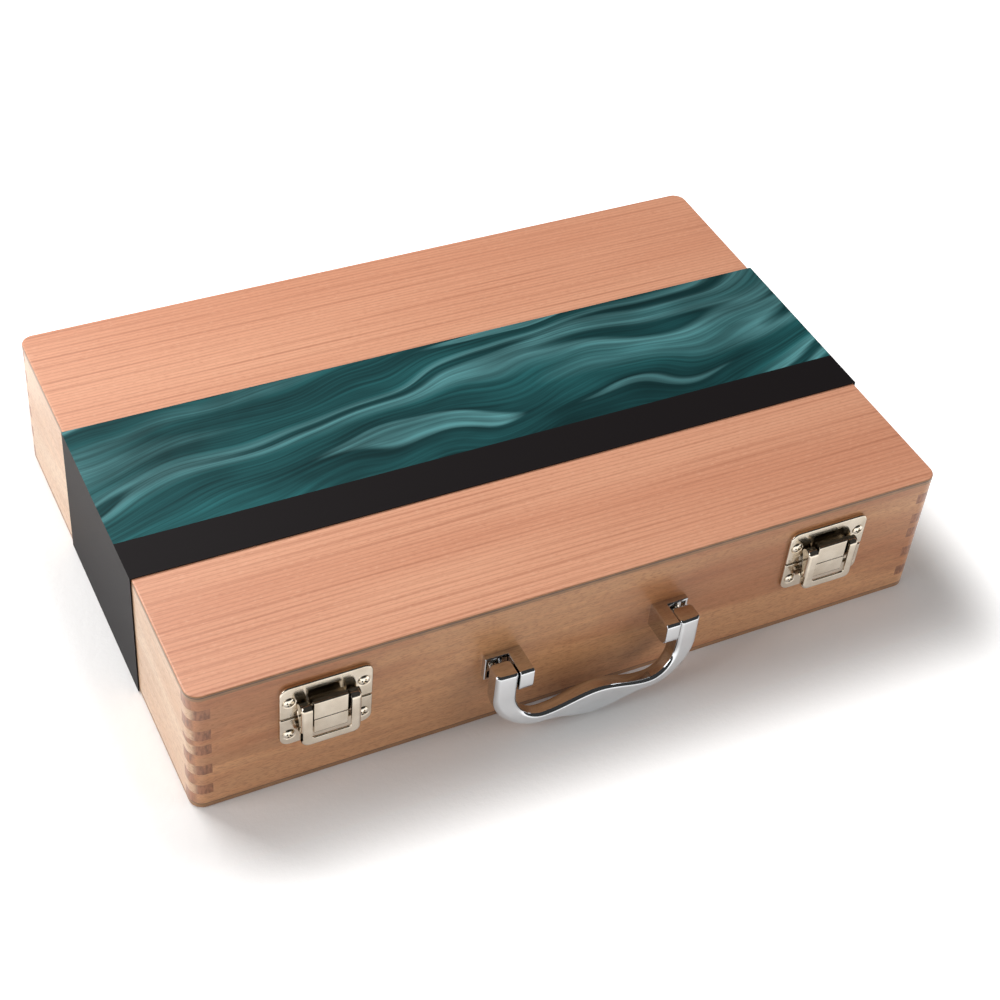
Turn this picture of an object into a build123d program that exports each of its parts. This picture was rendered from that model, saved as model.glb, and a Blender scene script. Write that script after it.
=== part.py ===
"""Wooden oil paint box with two draw latches, a swinging carrying handle and a card sleeve.

Frame: origin at the centre of the underside, +X along the length, +Z up. The front, with the
latches and the handle, faces -Y. Millimetres. The lid is shut and the handle hangs.

Parts on the front are drawn by two measures: how far they stand out from the front face, here
called the outset, and their height. Hinge parts are drawn the same way and turned to the back.
"""

import os
from math import cos, pi, sin

from build123d import *

# Box
LENGTH = 400.0
WIDTH = 268.0
HEIGHT = 78.0
BASE_HEIGHT = 47.5
CORNER_RADIUS = 7.0
WALL = 10.0
PANEL = 3.2
PANEL_EDGE_ROUND = 0.8

# Finger joints, cut before the closed box is sawn into base and lid
FINGER_START = 10.0
FINGER_PITCH = 14.0
FINGER_HEIGHT = 6.5
SAW_KERF = 4.0
SHORTEST_FINGER = 1.0

# Dividers in the base
DIVIDER = 4.0
DIVIDER_HEIGHT = 36.0
BRUSH_BAY = 52.0
CROSS_DIVIDERS = 3

# Palette stored in the lid
PALETTE = 4.0
PALETTE_SIDE_GAP = 6.0
PALETTE_CORNER = 12.0
PALETTE_PLAY = 0.2
THUMB_HOLE_LENGTH = 38.0
THUMB_HOLE_WIDTH = 26.0
THUMB_HOLE_INSET = 34.0
THUMB_HOLE_TURN = 30.0
BATTEN_END_GAP = 40.0
BATTEN_DEPTH = 12.0
BATTEN_REBATE = 2.7
BATTEN_LIP = 4.5

# Turn buttons that keep the palette in the lid
BUTTON_INSET = 90.0
BUTTON_WIDTH = 10.0
BUTTON_REACH = 17.0
BUTTON_THICKNESS = 4.0
BUTTON_BLOCK_LENGTH = 18.0
BUTTON_WALL_GAP = 0.35
BUTTON_SCREW_SHORT = 1.0

# Clearances
RUNNING_CLEARANCE = 0.05
MOVING_GAP = 0.3
PILOT_CLEARANCE = 0.05

# How far a cut runs on past the surface that it opens
OVERCUT = 1.0

# Wood screws
SCREW_HEAD_RADIUS = 2.9
SCREW_HEAD_HEIGHT = 1.3
SCREW_RIM_SHARE = 0.3
SCREW_SHANK_RADIUS = 1.4
SCREW_BITE = 7.5

# Latch plates. Latch heights are measured down (DROP) or up (RISE) from the saw line
LATCH_INSET = 64.5
LATCH_WIDTH = 45.5
LATCH_PLATE_DROP = 18.0
LATCH_PLATE_RISE = 20.5
LATCH_PLATE_OUTSET = 2.0
LATCH_SHEET = 0.8
LATCH_PLATE_GAP = 0.6
LATCH_CORNER = 4.8
LATCH_INNER_CORNER = 0.8
LATCH_EDGE_ROUND = 0.7
LATCH_SCREW_SPREAD = 36.4
LATCH_SCREW_FROM_SAW = 10.8

# Latch lever, a pressed frame open at the top
LEVER_PIVOT_OUTSET = 5.2
LEVER_PIVOT_RISE = 8.3
LEVER_FACE = 9.0
LEVER_BACK = 2.5
LEVER_SHEET = 1.0
LEVER_WIDTH = 29.4
LEVER_DROP = 15.0
LEVER_FACE_RISE = 9.3
LEVER_CORNER = 4.0
LEVER_FACE_ROUND = 0.7
LEVER_WALL_DROP = 8.0
LEVER_TOE = 6.4
LEVER_WINDOW_WIDTH = 18.0
LEVER_WINDOW_DROP = 9.4
LEVER_WINDOW_CORNER = 1.5
KNUCKLE_LENGTH = 3.1
LEVER_KNUCKLE_RADIUS = 2.7
LEVER_PIN_RADIUS = 1.2

# Ears of the latch base that carry the lever
EAR_THICKNESS = 1.7
EAR_RADIUS = 2.5
EAR_ROOT_DROP = 4.5

# Draw plate, the hook that the lever pulls down
DRAW_PIVOT_OUTSET = 4.2
DRAW_PIVOT_DROP = 6.8
DRAW_FACE = 7.4
DRAW_STEP_FACE = 8.0
DRAW_STEP_RISE = 0.9
DRAW_SHEET = 1.0
DRAW_RISE = 12.0
DRAW_SIDE_GAP = 0.4
DRAW_KNUCKLE_RADIUS = 1.95
DRAW_PIN_RADIUS = 1.0
DRAW_HOOK_GAP = 0.6

# Keeper, a tongue lanced out of the strike plate
KEEPER_WIDTH = 16.0
KEEPER_ROOT_RISE = 4.7
KEEPER_OUTSET = 3.4
KEEPER_SHEET = 1.0
STRIKE_WINDOW_WIDTH = 18.6
STRIKE_WINDOW_RISE = 16.0

# Handle brackets, just below the saw line
HANDLE_PIVOT_OUTSET = 11.3
HANDLE_PIVOT_DROP = 7.1
BRACKET_INNER = 36.0
BRACKET_OUTER = 55.5
BRACKET_DROP = 0.2
BRACKET_HEIGHT = 14.3
BRACKET_PLATE = 3.0
BRACKET_ARM = 7.5
BRACKET_REACH = 17.0
BRACKET_NOSE_ROUND = 3.5
BRACKET_EDGE_ROUND = 0.5
BRACKET_SCREW_SEAT = 1.6
HANDLE_PIN_RADIUS = 2.0
HANDLE_PIN_BLIND = 9.0

# Handle bail: its arms hang straight, bend a quarter turn and meet in a full hand grip
BAIL_SIDE_GAP = 0.5
BAIL_ARM_BREADTH = 11.5
BAIL_ARM_DEPTH = 11.0
BAIL_TOP_DROP = 0.6
BAIL_TOP_ROUND = 3.5
BAIL_FLOOR_GAP = 0.8
BAIL_BEND_RADIUS = 20.5
BAIL_NECK_BREADTH = 7.6
BAIL_NECK_DEPTH = 8.9
BAIL_GRIP_BREADTH = 19.4
BAIL_GRIP_DEPTH = 10.6
BAIL_GRIP_OUTSET = 14.7
BAIL_CORNER_SHARE = 0.36
BAIL_BEND_STEPS = 8
BAIL_GRIP_STEPS = 6

# Hinges on the back
HINGE_INSET = 80.0
HINGE_LENGTH = 36.0
HINGE_LEAF_HEIGHT = 20.0
HINGE_LEAF = 1.2
HINGE_KNUCKLES = 5
HINGE_KNUCKLE_RADIUS = 2.5
HINGE_KNUCKLE_GAP = 0.2
HINGE_AXIS_OUTSET = 2.8
HINGE_LEAF_SETBACK = 3.2
HINGE_PIN_RADIUS = 1.2
HINGE_PIN_HEAD_RADIUS = 2.0
HINGE_PIN_HEAD = 0.8
HINGE_CORNER = 2.0
HINGE_SCREW_SPREAD = 22.0
HINGE_SCREW_DROP = 13.0
LID_OPENING = 105.0
STOP_FIN_REACH = 6.0
STOP_FIN_START = 1.5

# Card sleeve round the closed box
SLEEVE_WIDTH = 109.0
SLEEVE_SHIFT = -1.0
SLEEVE_CARD = 0.5
SLEEVE_GAP = 0.3
SLEEVE_FLOOR_GAP = 0.5

# Places that follow from the sizes above
FRONT = -WIDTH / 2
END_INSIDE = LENGTH / 2 - WALL
SIDE_INSIDE = WIDTH / 2 - WALL
LID_INSIDE_TOP = HEIGHT - PANEL
PALETTE_UNDER = LID_INSIDE_TOP - PALETTE_PLAY - PALETTE
BUTTON_TOP = PALETTE_UNDER - MOVING_GAP
BUTTON_PIVOT_Y = -SIDE_INSIDE + BUTTON_WIDTH / 2 + BUTTON_WALL_GAP
BLOCK_BACK = BUTTON_PIVOT_Y + BUTTON_WIDTH / 2
PALETTE_FRONT = BLOCK_BACK + MOVING_GAP
PALETTE_BACK = SIDE_INSIDE - BATTEN_REBATE - MOVING_GAP
PALETTE_HALF = END_INSIDE - PALETTE_SIDE_GAP
BATTEN_HALF = END_INSIDE - BATTEN_END_GAP
BUTTON_X = LENGTH / 2 - BUTTON_INSET
LATCH_X = LENGTH / 2 - LATCH_INSET
HINGE_X = LENGTH / 2 - HINGE_INSET
LATCH_PLATE_LOW = BASE_HEIGHT - LATCH_PLATE_DROP
LATCH_PLATE_HIGH = BASE_HEIGHT + LATCH_PLATE_RISE
LATCH_SCREW_LOW = BASE_HEIGHT - LATCH_SCREW_FROM_SAW
LATCH_SCREW_HIGH = BASE_HEIGHT + LATCH_SCREW_FROM_SAW
LEVER_PIVOT = (LEVER_PIVOT_OUTSET, BASE_HEIGHT + LEVER_PIVOT_RISE)
LEVER_LOW = BASE_HEIGHT - LEVER_DROP
DRAW_PIVOT = (DRAW_PIVOT_OUTSET, BASE_HEIGHT - DRAW_PIVOT_DROP)
DRAW_HIGH = BASE_HEIGHT + DRAW_RISE
DRAW_WIDTH = LEVER_WINDOW_WIDTH - 2 * DRAW_SIDE_GAP
HOOK_UNDER = DRAW_HIGH - DRAW_SHEET
KNUCKLE_INNER = LEVER_WIDTH / 2 - KNUCKLE_LENGTH
EAR_OUTER = KNUCKLE_INNER - MOVING_GAP
EAR_INNER = EAR_OUTER - EAR_THICKNESS
HANDLE_PIVOT = (HANDLE_PIVOT_OUTSET, BASE_HEIGHT - HANDLE_PIVOT_DROP)
BRACKET_HIGH = BASE_HEIGHT - BRACKET_DROP
BRACKET_MIDDLE = BRACKET_HIGH - BRACKET_HEIGHT / 2
BAIL_TOP = BASE_HEIGHT - BAIL_TOP_DROP
BAIL_BEND_TOP = BAIL_FLOOR_GAP + BAIL_GRIP_BREADTH / 2 + BAIL_BEND_RADIUS
BAIL_ARM_INNER = BRACKET_INNER + BRACKET_ARM + BAIL_SIDE_GAP
BAIL_ARM_X = BAIL_ARM_INNER + BAIL_ARM_BREADTH / 2


def block_between(x0, x1, y0, y1, z0, z1):
    """A block given by its low and high sides."""
    centre = ((x0 + x1) / 2, (y0 + y1) / 2, (z0 + z1) / 2)
    return Pos(*centre) * Box(x1 - x0, y1 - y0, z1 - z0)


def front_block(x0, x1, outset0, outset1, z0, z1):
    """A block on the front face, given by its outsets instead of its Y."""
    return block_between(x0, x1, FRONT - outset1, FRONT - outset0, z0, z1)


def front_plate(outline, outset, thickness):
    """An outline of X and Z, raised from an outset by a thickness."""
    return extrude(Plane.XZ.offset(WIDTH / 2 + outset) * outline, thickness, dir=(0, -1, 0))


def side_profile(outline, x0, x1):
    """An outline of outset and height, run along X from x0 to x1."""
    plane = Plane(origin=(x1, FRONT, 0), x_dir=(0, -1, 0), z_dir=(-1, 0, 0))
    return extrude(plane * outline, x1 - x0, dir=(-1, 0, 0))


def shape_of(*points):
    """A closed outline through the points."""
    return Sketch() + make_face(Polyline(*points, close=True))


def rod_out(x, z, outset0, outset1, radius):
    """A round rod that stands square to the front face."""
    middle = FRONT - (outset0 + outset1) / 2
    return Pos(x, middle, z) * Rot(90, 0, 0) * Cylinder(radius, outset1 - outset0)


def rod_across(pivot, x0, x1, radius):
    """A round rod along X through a pivot given as outset and height."""
    outset, height = pivot
    return Pos((x0 + x1) / 2, FRONT - outset, height) * Rot(0, 90, 0) * Cylinder(radius, x1 - x0)


def both_sides(part):
    """The part and its mirror image across the middle of the length."""
    return part + mirror(part, about=Plane.YZ)


def round_corners(outline, low, high):
    """Round the two lower and the two upper corners of a rectangle."""
    corners = outline.vertices().sort_by(Axis.Y)
    lower = fillet(corners[:2], low)
    upper = lower.vertices().sort_by(Axis.Y)[-2:]
    return fillet(upper, high)


def wood_screw(head_height, length):
    """A domed screw along Z, with the seat of its head at the origin and its shank below."""
    rim = head_height * SCREW_RIM_SHARE
    crown = TangentArc((0, head_height), (SCREW_HEAD_RADIUS, rim), tangent=(1, 0))
    rest = Polyline(
        (SCREW_HEAD_RADIUS, rim),
        (SCREW_HEAD_RADIUS, 0),
        (SCREW_SHANK_RADIUS, 0),
        (SCREW_SHANK_RADIUS, SCREW_SHANK_RADIUS - length),
        (0, -length),
        (0, head_height),
    )
    return revolve(Plane.XZ * make_face(crown + rest), Axis.Z)


def front_screw(x, z, seat, head_height=SCREW_HEAD_HEIGHT):
    """A screw driven into the front face, with its head seated at an outset."""
    return Pos(x, FRONT - seat, z) * Rot(90, 0, 0) * wood_screw(head_height, SCREW_BITE + seat)


def pilot_hole(x, z):
    """The hole that a screw's shank fills in a board."""
    deepest = SCREW_BITE + PILOT_CLEARANCE
    return rod_out(x, z, -deepest, OVERCUT, SCREW_SHANK_RADIUS + PILOT_CLEARANCE)


def to_back(part):
    """Turn a part from the front face to the same place on the back face."""
    return Rot(0, 0, 180) * part


def finger_spans(low, high, drop):
    """The heights of the side boards' fingers in one half of the sawn box."""
    spans = []
    bottom = FINGER_START
    while bottom < HEIGHT + SAW_KERF:
        start = max(bottom - drop, low)
        end = min(bottom - drop + FINGER_HEIGHT, high)
        if end - start > SHORTEST_FINGER:
            spans.append((start, end))
        bottom += FINGER_PITCH
    return spans


def make_boards(low, high, drop):
    """Four finger-jointed boards of one half: front, back, left and right."""
    rounded = extrude(Pos(0, 0, low) * RectangleRounded(LENGTH, WIDTH, CORNER_RADIUS), high - low)
    front = block_between(-LENGTH / 2, LENGTH / 2, FRONT, -SIDE_INSIDE, low, high)
    left = block_between(-LENGTH / 2, -END_INSIDE, -SIDE_INSIDE, SIDE_INSIDE, low, high)
    for start, end in finger_spans(low, high, drop):
        finger = block_between(-LENGTH / 2, -END_INSIDE, FRONT, -SIDE_INSIDE, start, end)
        front -= both_sides(finger)
        left += finger + mirror(finger, about=Plane.XZ)
    front = front & rounded
    left = left & rounded
    return front, mirror(front, about=Plane.XZ), left, mirror(left, about=Plane.YZ)


def make_panel(bottom, outer_face):
    """A thin panel laid over the boards, with the edge of its outer face softened."""
    panel = extrude(Pos(0, 0, bottom) * RectangleRounded(LENGTH, WIDTH, CORNER_RADIUS), PANEL)
    return fillet(panel.faces().sort_by(Axis.Z)[outer_face].edges(), PANEL_EDGE_ROUND)


def make_dividers():
    """One long divider for the brushes at the front and cross dividers behind it."""
    front_edge = -SIDE_INSIDE + BRUSH_BAY
    back_edge = front_edge + DIVIDER
    top = PANEL + DIVIDER_HEIGHT
    long_divider = block_between(-END_INSIDE, END_INSIDE, front_edge, back_edge, PANEL, top)
    spacing = 2 * END_INSIDE / (CROSS_DIVIDERS + 1)
    cross = []
    for number in range(1, CROSS_DIVIDERS + 1):
        x = -END_INSIDE + number * spacing
        half = DIVIDER / 2
        cross.append(block_between(x - half, x + half, back_edge, SIDE_INSIDE, PANEL, top))
    return long_divider, cross


def make_palette():
    """The mixing palette, with a thumb hole near one corner."""
    depth = PALETTE_BACK - PALETTE_FRONT
    middle = (PALETTE_BACK + PALETTE_FRONT) / 2
    outline = RectangleRounded(2 * PALETTE_HALF, depth, PALETTE_CORNER)
    hole_x = PALETTE_HALF - THUMB_HOLE_INSET
    hole_y = -depth / 2 + THUMB_HOLE_INSET
    hole = Rot(0, 0, THUMB_HOLE_TURN) * Ellipse(THUMB_HOLE_LENGTH / 2, THUMB_HOLE_WIDTH / 2)
    outline -= Pos(hole_x, hole_y) * hole
    return extrude(Pos(0, middle, PALETTE_UNDER) * outline, PALETTE)


def make_batten():
    """The rebated strip on the lid's back board that holds one edge of the palette."""
    half = BATTEN_HALF
    lip_top = PALETTE_UNDER - MOVING_GAP
    front = SIDE_INSIDE - BATTEN_DEPTH
    lip = block_between(-half, half, front, SIDE_INSIDE, lip_top - BATTEN_LIP, lip_top)
    back = SIDE_INSIDE - BATTEN_REBATE
    return lip + block_between(-half, half, back, SIDE_INSIDE, lip_top, LID_INSIDE_TOP)


def make_button_block():
    """The wood block that a turn button is screwed to, centred on X = 0."""
    half = BUTTON_BLOCK_LENGTH / 2
    bite = wood_hole_up(PALETTE_UNDER - OVERCUT, LID_INSIDE_TOP)
    return block_between(-half, half, -SIDE_INSIDE, BLOCK_BACK, PALETTE_UNDER, LID_INSIDE_TOP) - bite


def wood_hole_up(low, high):
    """An upright hole at the turn button's pivot."""
    radius = SCREW_SHANK_RADIUS + RUNNING_CLEARANCE
    return Pos(0, BUTTON_PIVOT_Y, (low + high) / 2) * Cylinder(radius, high - low)


def make_turn_button():
    """A turn button pointing over the palette, rounded at both ends."""
    radius = BUTTON_WIDTH / 2
    tip = BUTTON_REACH - radius
    outline = Circle(radius) + Pos(0, tip) * Circle(radius) + Pos(0, tip / 2) * Rectangle(2 * radius, tip)
    low = BUTTON_TOP - BUTTON_THICKNESS
    button = extrude(Pos(0, BUTTON_PIVOT_Y, low) * outline, BUTTON_THICKNESS)
    return button - wood_hole_up(low - OVERCUT, BUTTON_TOP + OVERCUT)


def make_button_screw():
    """The screw that a turn button turns on, driven upwards."""
    seat = BUTTON_TOP - BUTTON_THICKNESS - RUNNING_CLEARANCE
    length = LID_INSIDE_TOP - seat - BUTTON_SCREW_SHORT
    return Pos(0, BUTTON_PIVOT_Y, seat) * Rot(180, 0, 0) * wood_screw(SCREW_HEAD_HEIGHT, length)


def latch_pan(low, high, low_corner, high_corner):
    """A pressed latch plate: a shallow pan, hollow behind, with its edges turned to the wood."""
    middle = (low + high) / 2
    flat = Pos(0, middle) * Rectangle(LATCH_WIDTH, high - low)
    pan = front_plate(round_corners(flat, low_corner, high_corner), 0, LATCH_PLATE_OUTSET)
    pan = fillet(pan.faces().sort_by(Axis.Y)[0].edges(), LATCH_EDGE_ROUND)
    inner = Pos(0, middle) * Rectangle(LATCH_WIDTH - 2 * LATCH_SHEET, high - low - 2 * LATCH_SHEET)
    inner_low = max(low_corner - LATCH_SHEET, LATCH_SHEET / 2)
    inner_high = max(high_corner - LATCH_SHEET, LATCH_SHEET / 2)
    inner = round_corners(inner, inner_low, inner_high)
    return pan - front_plate(inner, 0, LATCH_PLATE_OUTSET - LATCH_SHEET)


def screw_pair_holes(height):
    """Clearance holes for a latch plate's two screws."""
    radius = SCREW_SHANK_RADIUS + RUNNING_CLEARANCE
    hole = rod_out(LATCH_SCREW_SPREAD / 2, height, 0, LATCH_PLATE_OUTSET + OVERCUT, radius)
    return both_sides(hole)


def make_latch_base():
    """The latch's lower plate, with two ears that reach up to carry the lever."""
    high = BASE_HEIGHT - LATCH_PLATE_GAP / 2
    pan = latch_pan(LATCH_PLATE_LOW, high, LATCH_CORNER, LATCH_INNER_CORNER)
    inside = LATCH_PLATE_OUTSET - LATCH_SHEET / 2
    out, up = LEVER_PIVOT
    clear = LATCH_PLATE_OUTSET + 2 * MOVING_GAP
    root = BASE_HEIGHT - EAR_ROOT_DROP
    web = shape_of(
        (inside, root),
        (LATCH_PLATE_OUTSET + EAR_RADIUS, root),
        (out + EAR_RADIUS, up - 2 * EAR_RADIUS),
        (out + EAR_RADIUS, up),
        (clear + EAR_RADIUS / 4, up),
        (clear, up - EAR_RADIUS),
        (clear, high - MOVING_GAP),
        (inside, high - MOVING_GAP),
    )
    ear = side_profile(web + Pos(out, up) * Circle(EAR_RADIUS), EAR_INNER, EAR_OUTER)
    hole = LEVER_PIN_RADIUS + RUNNING_CLEARANCE
    ear -= rod_across(LEVER_PIVOT, EAR_INNER - OVERCUT, EAR_OUTER + OVERCUT, hole)
    return pan + both_sides(ear) - screw_pair_holes(LATCH_SCREW_LOW)


def make_strike():
    """The latch's upper plate on the lid, with a window and the keeper lanced out below it."""
    low = BASE_HEIGHT + LATCH_PLATE_GAP / 2
    pan = latch_pan(low, LATCH_PLATE_HIGH, LATCH_INNER_CORNER, LATCH_CORNER)
    sheet_back = LATCH_PLATE_OUTSET - LATCH_SHEET
    keeper_root = BASE_HEIGHT + KEEPER_ROOT_RISE
    window_low = keeper_root + LATCH_SHEET
    window_high = BASE_HEIGHT + STRIKE_WINDOW_RISE
    half = STRIKE_WINDOW_WIDTH / 2
    pan -= front_block(-half, half, 0, LATCH_PLATE_OUTSET + OVERCUT, window_low, window_high)
    tip = HOOK_UNDER - MOVING_GAP
    outer = KEEPER_OUTSET + KEEPER_SHEET
    tongue = shape_of(
        (sheet_back, keeper_root),
        (LATCH_PLATE_OUTSET, keeper_root),
        (outer, keeper_root + outer - KEEPER_SHEET),
        (outer, tip),
        (KEEPER_OUTSET, tip),
        (KEEPER_OUTSET, keeper_root + outer - LATCH_SHEET / 2),
        (sheet_back, window_low),
    )
    keeper = side_profile(tongue, -KEEPER_WIDTH / 2, KEEPER_WIDTH / 2)
    return pan + keeper - screw_pair_holes(LATCH_SCREW_HIGH)


def round_foot(half_width, low, high, corner):
    """A rectangle of X and Z with its two lower corners rounded."""
    outline = Pos(0, (low + high) / 2) * Rectangle(2 * half_width, high - low)
    return fillet(outline.vertices().sort_by(Axis.Y)[:2], corner)


def make_lever():
    """The latch lever: a pressed frame with its sides turned back and two top knuckles."""
    out, up = LEVER_PIVOT
    high = up + LEVER_KNUCKLE_RADIUS
    half = LEVER_WIDTH / 2
    outline = round_foot(half, LEVER_LOW, high, LEVER_CORNER)
    shell = front_plate(outline, LEVER_BACK, LEVER_FACE - LEVER_BACK)
    rim = shell.faces().sort_by(Axis.Y)[0].edges().sort_by(Axis.Z)[:-1]
    shell = fillet(rim, LEVER_FACE_ROUND)
    inner_corner = LEVER_CORNER - LEVER_SHEET
    hollow = round_foot(half - LEVER_SHEET, LEVER_LOW + LEVER_SHEET, high + OVERCUT, inner_corner)
    shell -= front_plate(hollow, 0, LEVER_FACE - LEVER_SHEET)
    window_low = BASE_HEIGHT - LEVER_WINDOW_DROP
    window = round_foot(LEVER_WINDOW_WIDTH / 2, window_low, high + OVERCUT, LEVER_WINDOW_CORNER)
    shell -= front_plate(window, 0, LEVER_FACE + OVERCUT)
    crown = shape_of(
        (out, up),
        (out, high),
        (out + LEVER_KNUCKLE_RADIUS / 2, high - MOVING_GAP),
        (LEVER_FACE, BASE_HEIGHT + LEVER_FACE_RISE),
        (LEVER_FACE, up - LEVER_KNUCKLE_RADIUS),
        (out, up - LEVER_KNUCKLE_RADIUS),
    )
    nose = crown + Pos(out, up) * Circle(LEVER_KNUCKLE_RADIUS)
    walls = shape_of(
        (LEVER_BACK, BASE_HEIGHT - LEVER_WALL_DROP),
        (LEVER_BACK, up),
        (LEVER_FACE, up),
        (LEVER_FACE, LEVER_LOW),
        (LEVER_TOE, LEVER_LOW),
    )
    shell = shell & side_profile(nose + walls, -half, half)
    shell += both_sides(side_profile(nose, KNUCKLE_INNER, half))
    reach = half + OVERCUT
    shell -= rod_across(LEVER_PIVOT, -reach, reach, LEVER_PIN_RADIUS + RUNNING_CLEARANCE)
    return shell - rod_across(DRAW_PIVOT, -reach, reach, DRAW_PIN_RADIUS + RUNNING_CLEARANCE)


def make_draw_plate():
    """The draw plate: a stepped plate with its foot curled round the pin and its top hooked."""
    out, up = DRAW_PIVOT
    low = up - DRAW_KNUCKLE_RADIUS
    back = DRAW_FACE - DRAW_SHEET
    step = BASE_HEIGHT + DRAW_STEP_RISE
    hook_tip = LATCH_PLATE_OUTSET + DRAW_HOOK_GAP
    profile = shape_of(
        (out, low),
        (DRAW_STEP_FACE, low),
        (DRAW_STEP_FACE, step),
        (DRAW_FACE, step),
        (DRAW_FACE, DRAW_HIGH - DRAW_SHEET / 2),
        (DRAW_FACE - DRAW_SHEET / 2, DRAW_HIGH),
        (hook_tip, DRAW_HIGH),
        (hook_tip, HOOK_UNDER),
        (back, HOOK_UNDER),
        (back, low + DRAW_SHEET),
        (out, low + DRAW_SHEET),
    )
    profile += Pos(out, up) * Circle(DRAW_KNUCKLE_RADIUS)
    half = DRAW_WIDTH / 2
    plate = side_profile(profile, -half, half)
    reach = half + OVERCUT
    return plate - rod_across(DRAW_PIVOT, -reach, reach, DRAW_PIN_RADIUS + RUNNING_CLEARANCE)


def make_bracket():
    """A cast handle bracket for the +X side: a plate with an arm along its inner edge."""
    middle = (BRACKET_INNER + BRACKET_OUTER) / 2
    outline = Rectangle(BRACKET_OUTER - BRACKET_INNER, BRACKET_HEIGHT)
    plate = front_plate(Pos(middle, BRACKET_MIDDLE) * outline, 0, BRACKET_PLATE)
    profile = Pos(BRACKET_REACH / 2, BRACKET_MIDDLE) * Rectangle(BRACKET_REACH, BRACKET_HEIGHT)
    nose = profile.vertices().sort_by(Axis.X)[-2:]
    profile = fillet(nose, BRACKET_NOSE_ROUND)
    arm_outer = BRACKET_INNER + BRACKET_ARM
    arm = side_profile(profile, BRACKET_INNER, arm_outer)
    arm_outline = arm.faces().sort_by(Axis.X)[0].edges().sort_by(Axis.Y)[:-1]
    arm = fillet(arm_outline, BRACKET_EDGE_ROUND)
    bracket = plate + arm
    pin_hole = HANDLE_PIN_RADIUS + RUNNING_CLEARANCE
    bracket -= rod_across(HANDLE_PIVOT, BRACKET_INNER - OVERCUT, arm_outer + OVERCUT, pin_hole)
    height = HANDLE_PIVOT[1]
    beyond = BRACKET_PLATE + OVERCUT
    head_hole = SCREW_HEAD_RADIUS + 2 * RUNNING_CLEARANCE
    shank_hole = SCREW_SHANK_RADIUS + RUNNING_CLEARANCE
    seat = rod_out(BAIL_ARM_X, height, BRACKET_SCREW_SEAT, beyond, head_hole)
    return bracket - seat - rod_out(BAIL_ARM_X, height, -OVERCUT, beyond, shank_hole)


def ease(start, end, share):
    """A smooth change from start to end as the share goes from 0 to 1."""
    return start + (end - start) * share * share * (3 - 2 * share)


def bail_section(x, z, turn, breadth, depth, outset):
    """A rounded section of the bail, square to its run, which has turned in from straight down."""
    plane = Plane(origin=(x, FRONT - outset, z), x_dir=(0, -1, 0), z_dir=(-sin(turn), 0, -cos(turn)))
    return plane * RectangleRounded(depth, breadth, min(breadth, depth) * BAIL_CORNER_SHARE)


def bail_half():
    """The sections of the +X half, from the top of its arm to the middle of the grip."""
    out = HANDLE_PIVOT[0]
    sections = [(BAIL_ARM_X, BAIL_TOP, 0, BAIL_ARM_BREADTH, BAIL_ARM_DEPTH, out)]
    for step in range(BAIL_BEND_STEPS + 1):
        share = step / BAIL_BEND_STEPS
        turn = share * pi / 2
        x = BAIL_ARM_X - BAIL_BEND_RADIUS * (1 - cos(turn))
        z = BAIL_BEND_TOP - BAIL_BEND_RADIUS * sin(turn)
        breadth = ease(BAIL_ARM_BREADTH, BAIL_NECK_BREADTH, share)
        depth = ease(BAIL_ARM_DEPTH, BAIL_NECK_DEPTH, share)
        sections.append((x, z, turn, breadth, depth, ease(out, BAIL_GRIP_OUTSET, share)))
    for step in range(1, BAIL_GRIP_STEPS + 1):
        share = step / BAIL_GRIP_STEPS
        x = (BAIL_ARM_X - BAIL_BEND_RADIUS) * (1 - share)
        z = BAIL_BEND_TOP - BAIL_BEND_RADIUS
        breadth = ease(BAIL_NECK_BREADTH, BAIL_GRIP_BREADTH, share)
        depth = ease(BAIL_NECK_DEPTH, BAIL_GRIP_DEPTH, share)
        sections.append((x, z, pi / 2, breadth, depth, BAIL_GRIP_OUTSET))
    return sections


def make_bail():
    """The cast bail: two straight arms, slim bent necks and a full hand grip between them."""
    half = bail_half()
    other = [(-x, z, pi - turn, *size) for x, z, turn, *size in reversed(half[:-1])]
    bail = loft([bail_section(*station) for station in half + other], ruled=True)
    out = HANDLE_PIVOT[0]
    reach = BAIL_ARM_DEPTH / 2 - BAIL_TOP_ROUND
    size = 2 * BAIL_TOP_ROUND
    for side in (-1, 1):
        centre = Pos(out + side * reach, BAIL_TOP - BAIL_TOP_ROUND)
        square = centre * Pos(side * BAIL_TOP_ROUND, BAIL_TOP_ROUND) * Rectangle(size, size)
        waste = square - centre * Circle(BAIL_TOP_ROUND)
        bail -= side_profile(waste, -BRACKET_OUTER - OVERCUT, BRACKET_OUTER + OVERCUT)
    end = BAIL_ARM_INNER + HANDLE_PIN_BLIND
    hole = HANDLE_PIN_RADIUS + RUNNING_CLEARANCE
    return bail - both_sides(rod_across(HANDLE_PIVOT, BAIL_ARM_INNER - OVERCUT, end, hole))


def make_handle_pins():
    """The two pins that the bail swings on, flush with the brackets' inner faces."""
    end = BAIL_ARM_INNER + HANDLE_PIN_BLIND - RUNNING_CLEARANCE
    return both_sides(rod_across(HANDLE_PIVOT, BRACKET_INNER, end, HANDLE_PIN_RADIUS))


def knuckle_span(number):
    """Where one of the hinge's knuckles starts and ends along X."""
    step = HINGE_LENGTH / HINGE_KNUCKLES
    start = -HINGE_LENGTH / 2 + number * step
    return start + HINGE_KNUCKLE_GAP / 2, start + step - HINGE_KNUCKLE_GAP / 2


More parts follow.
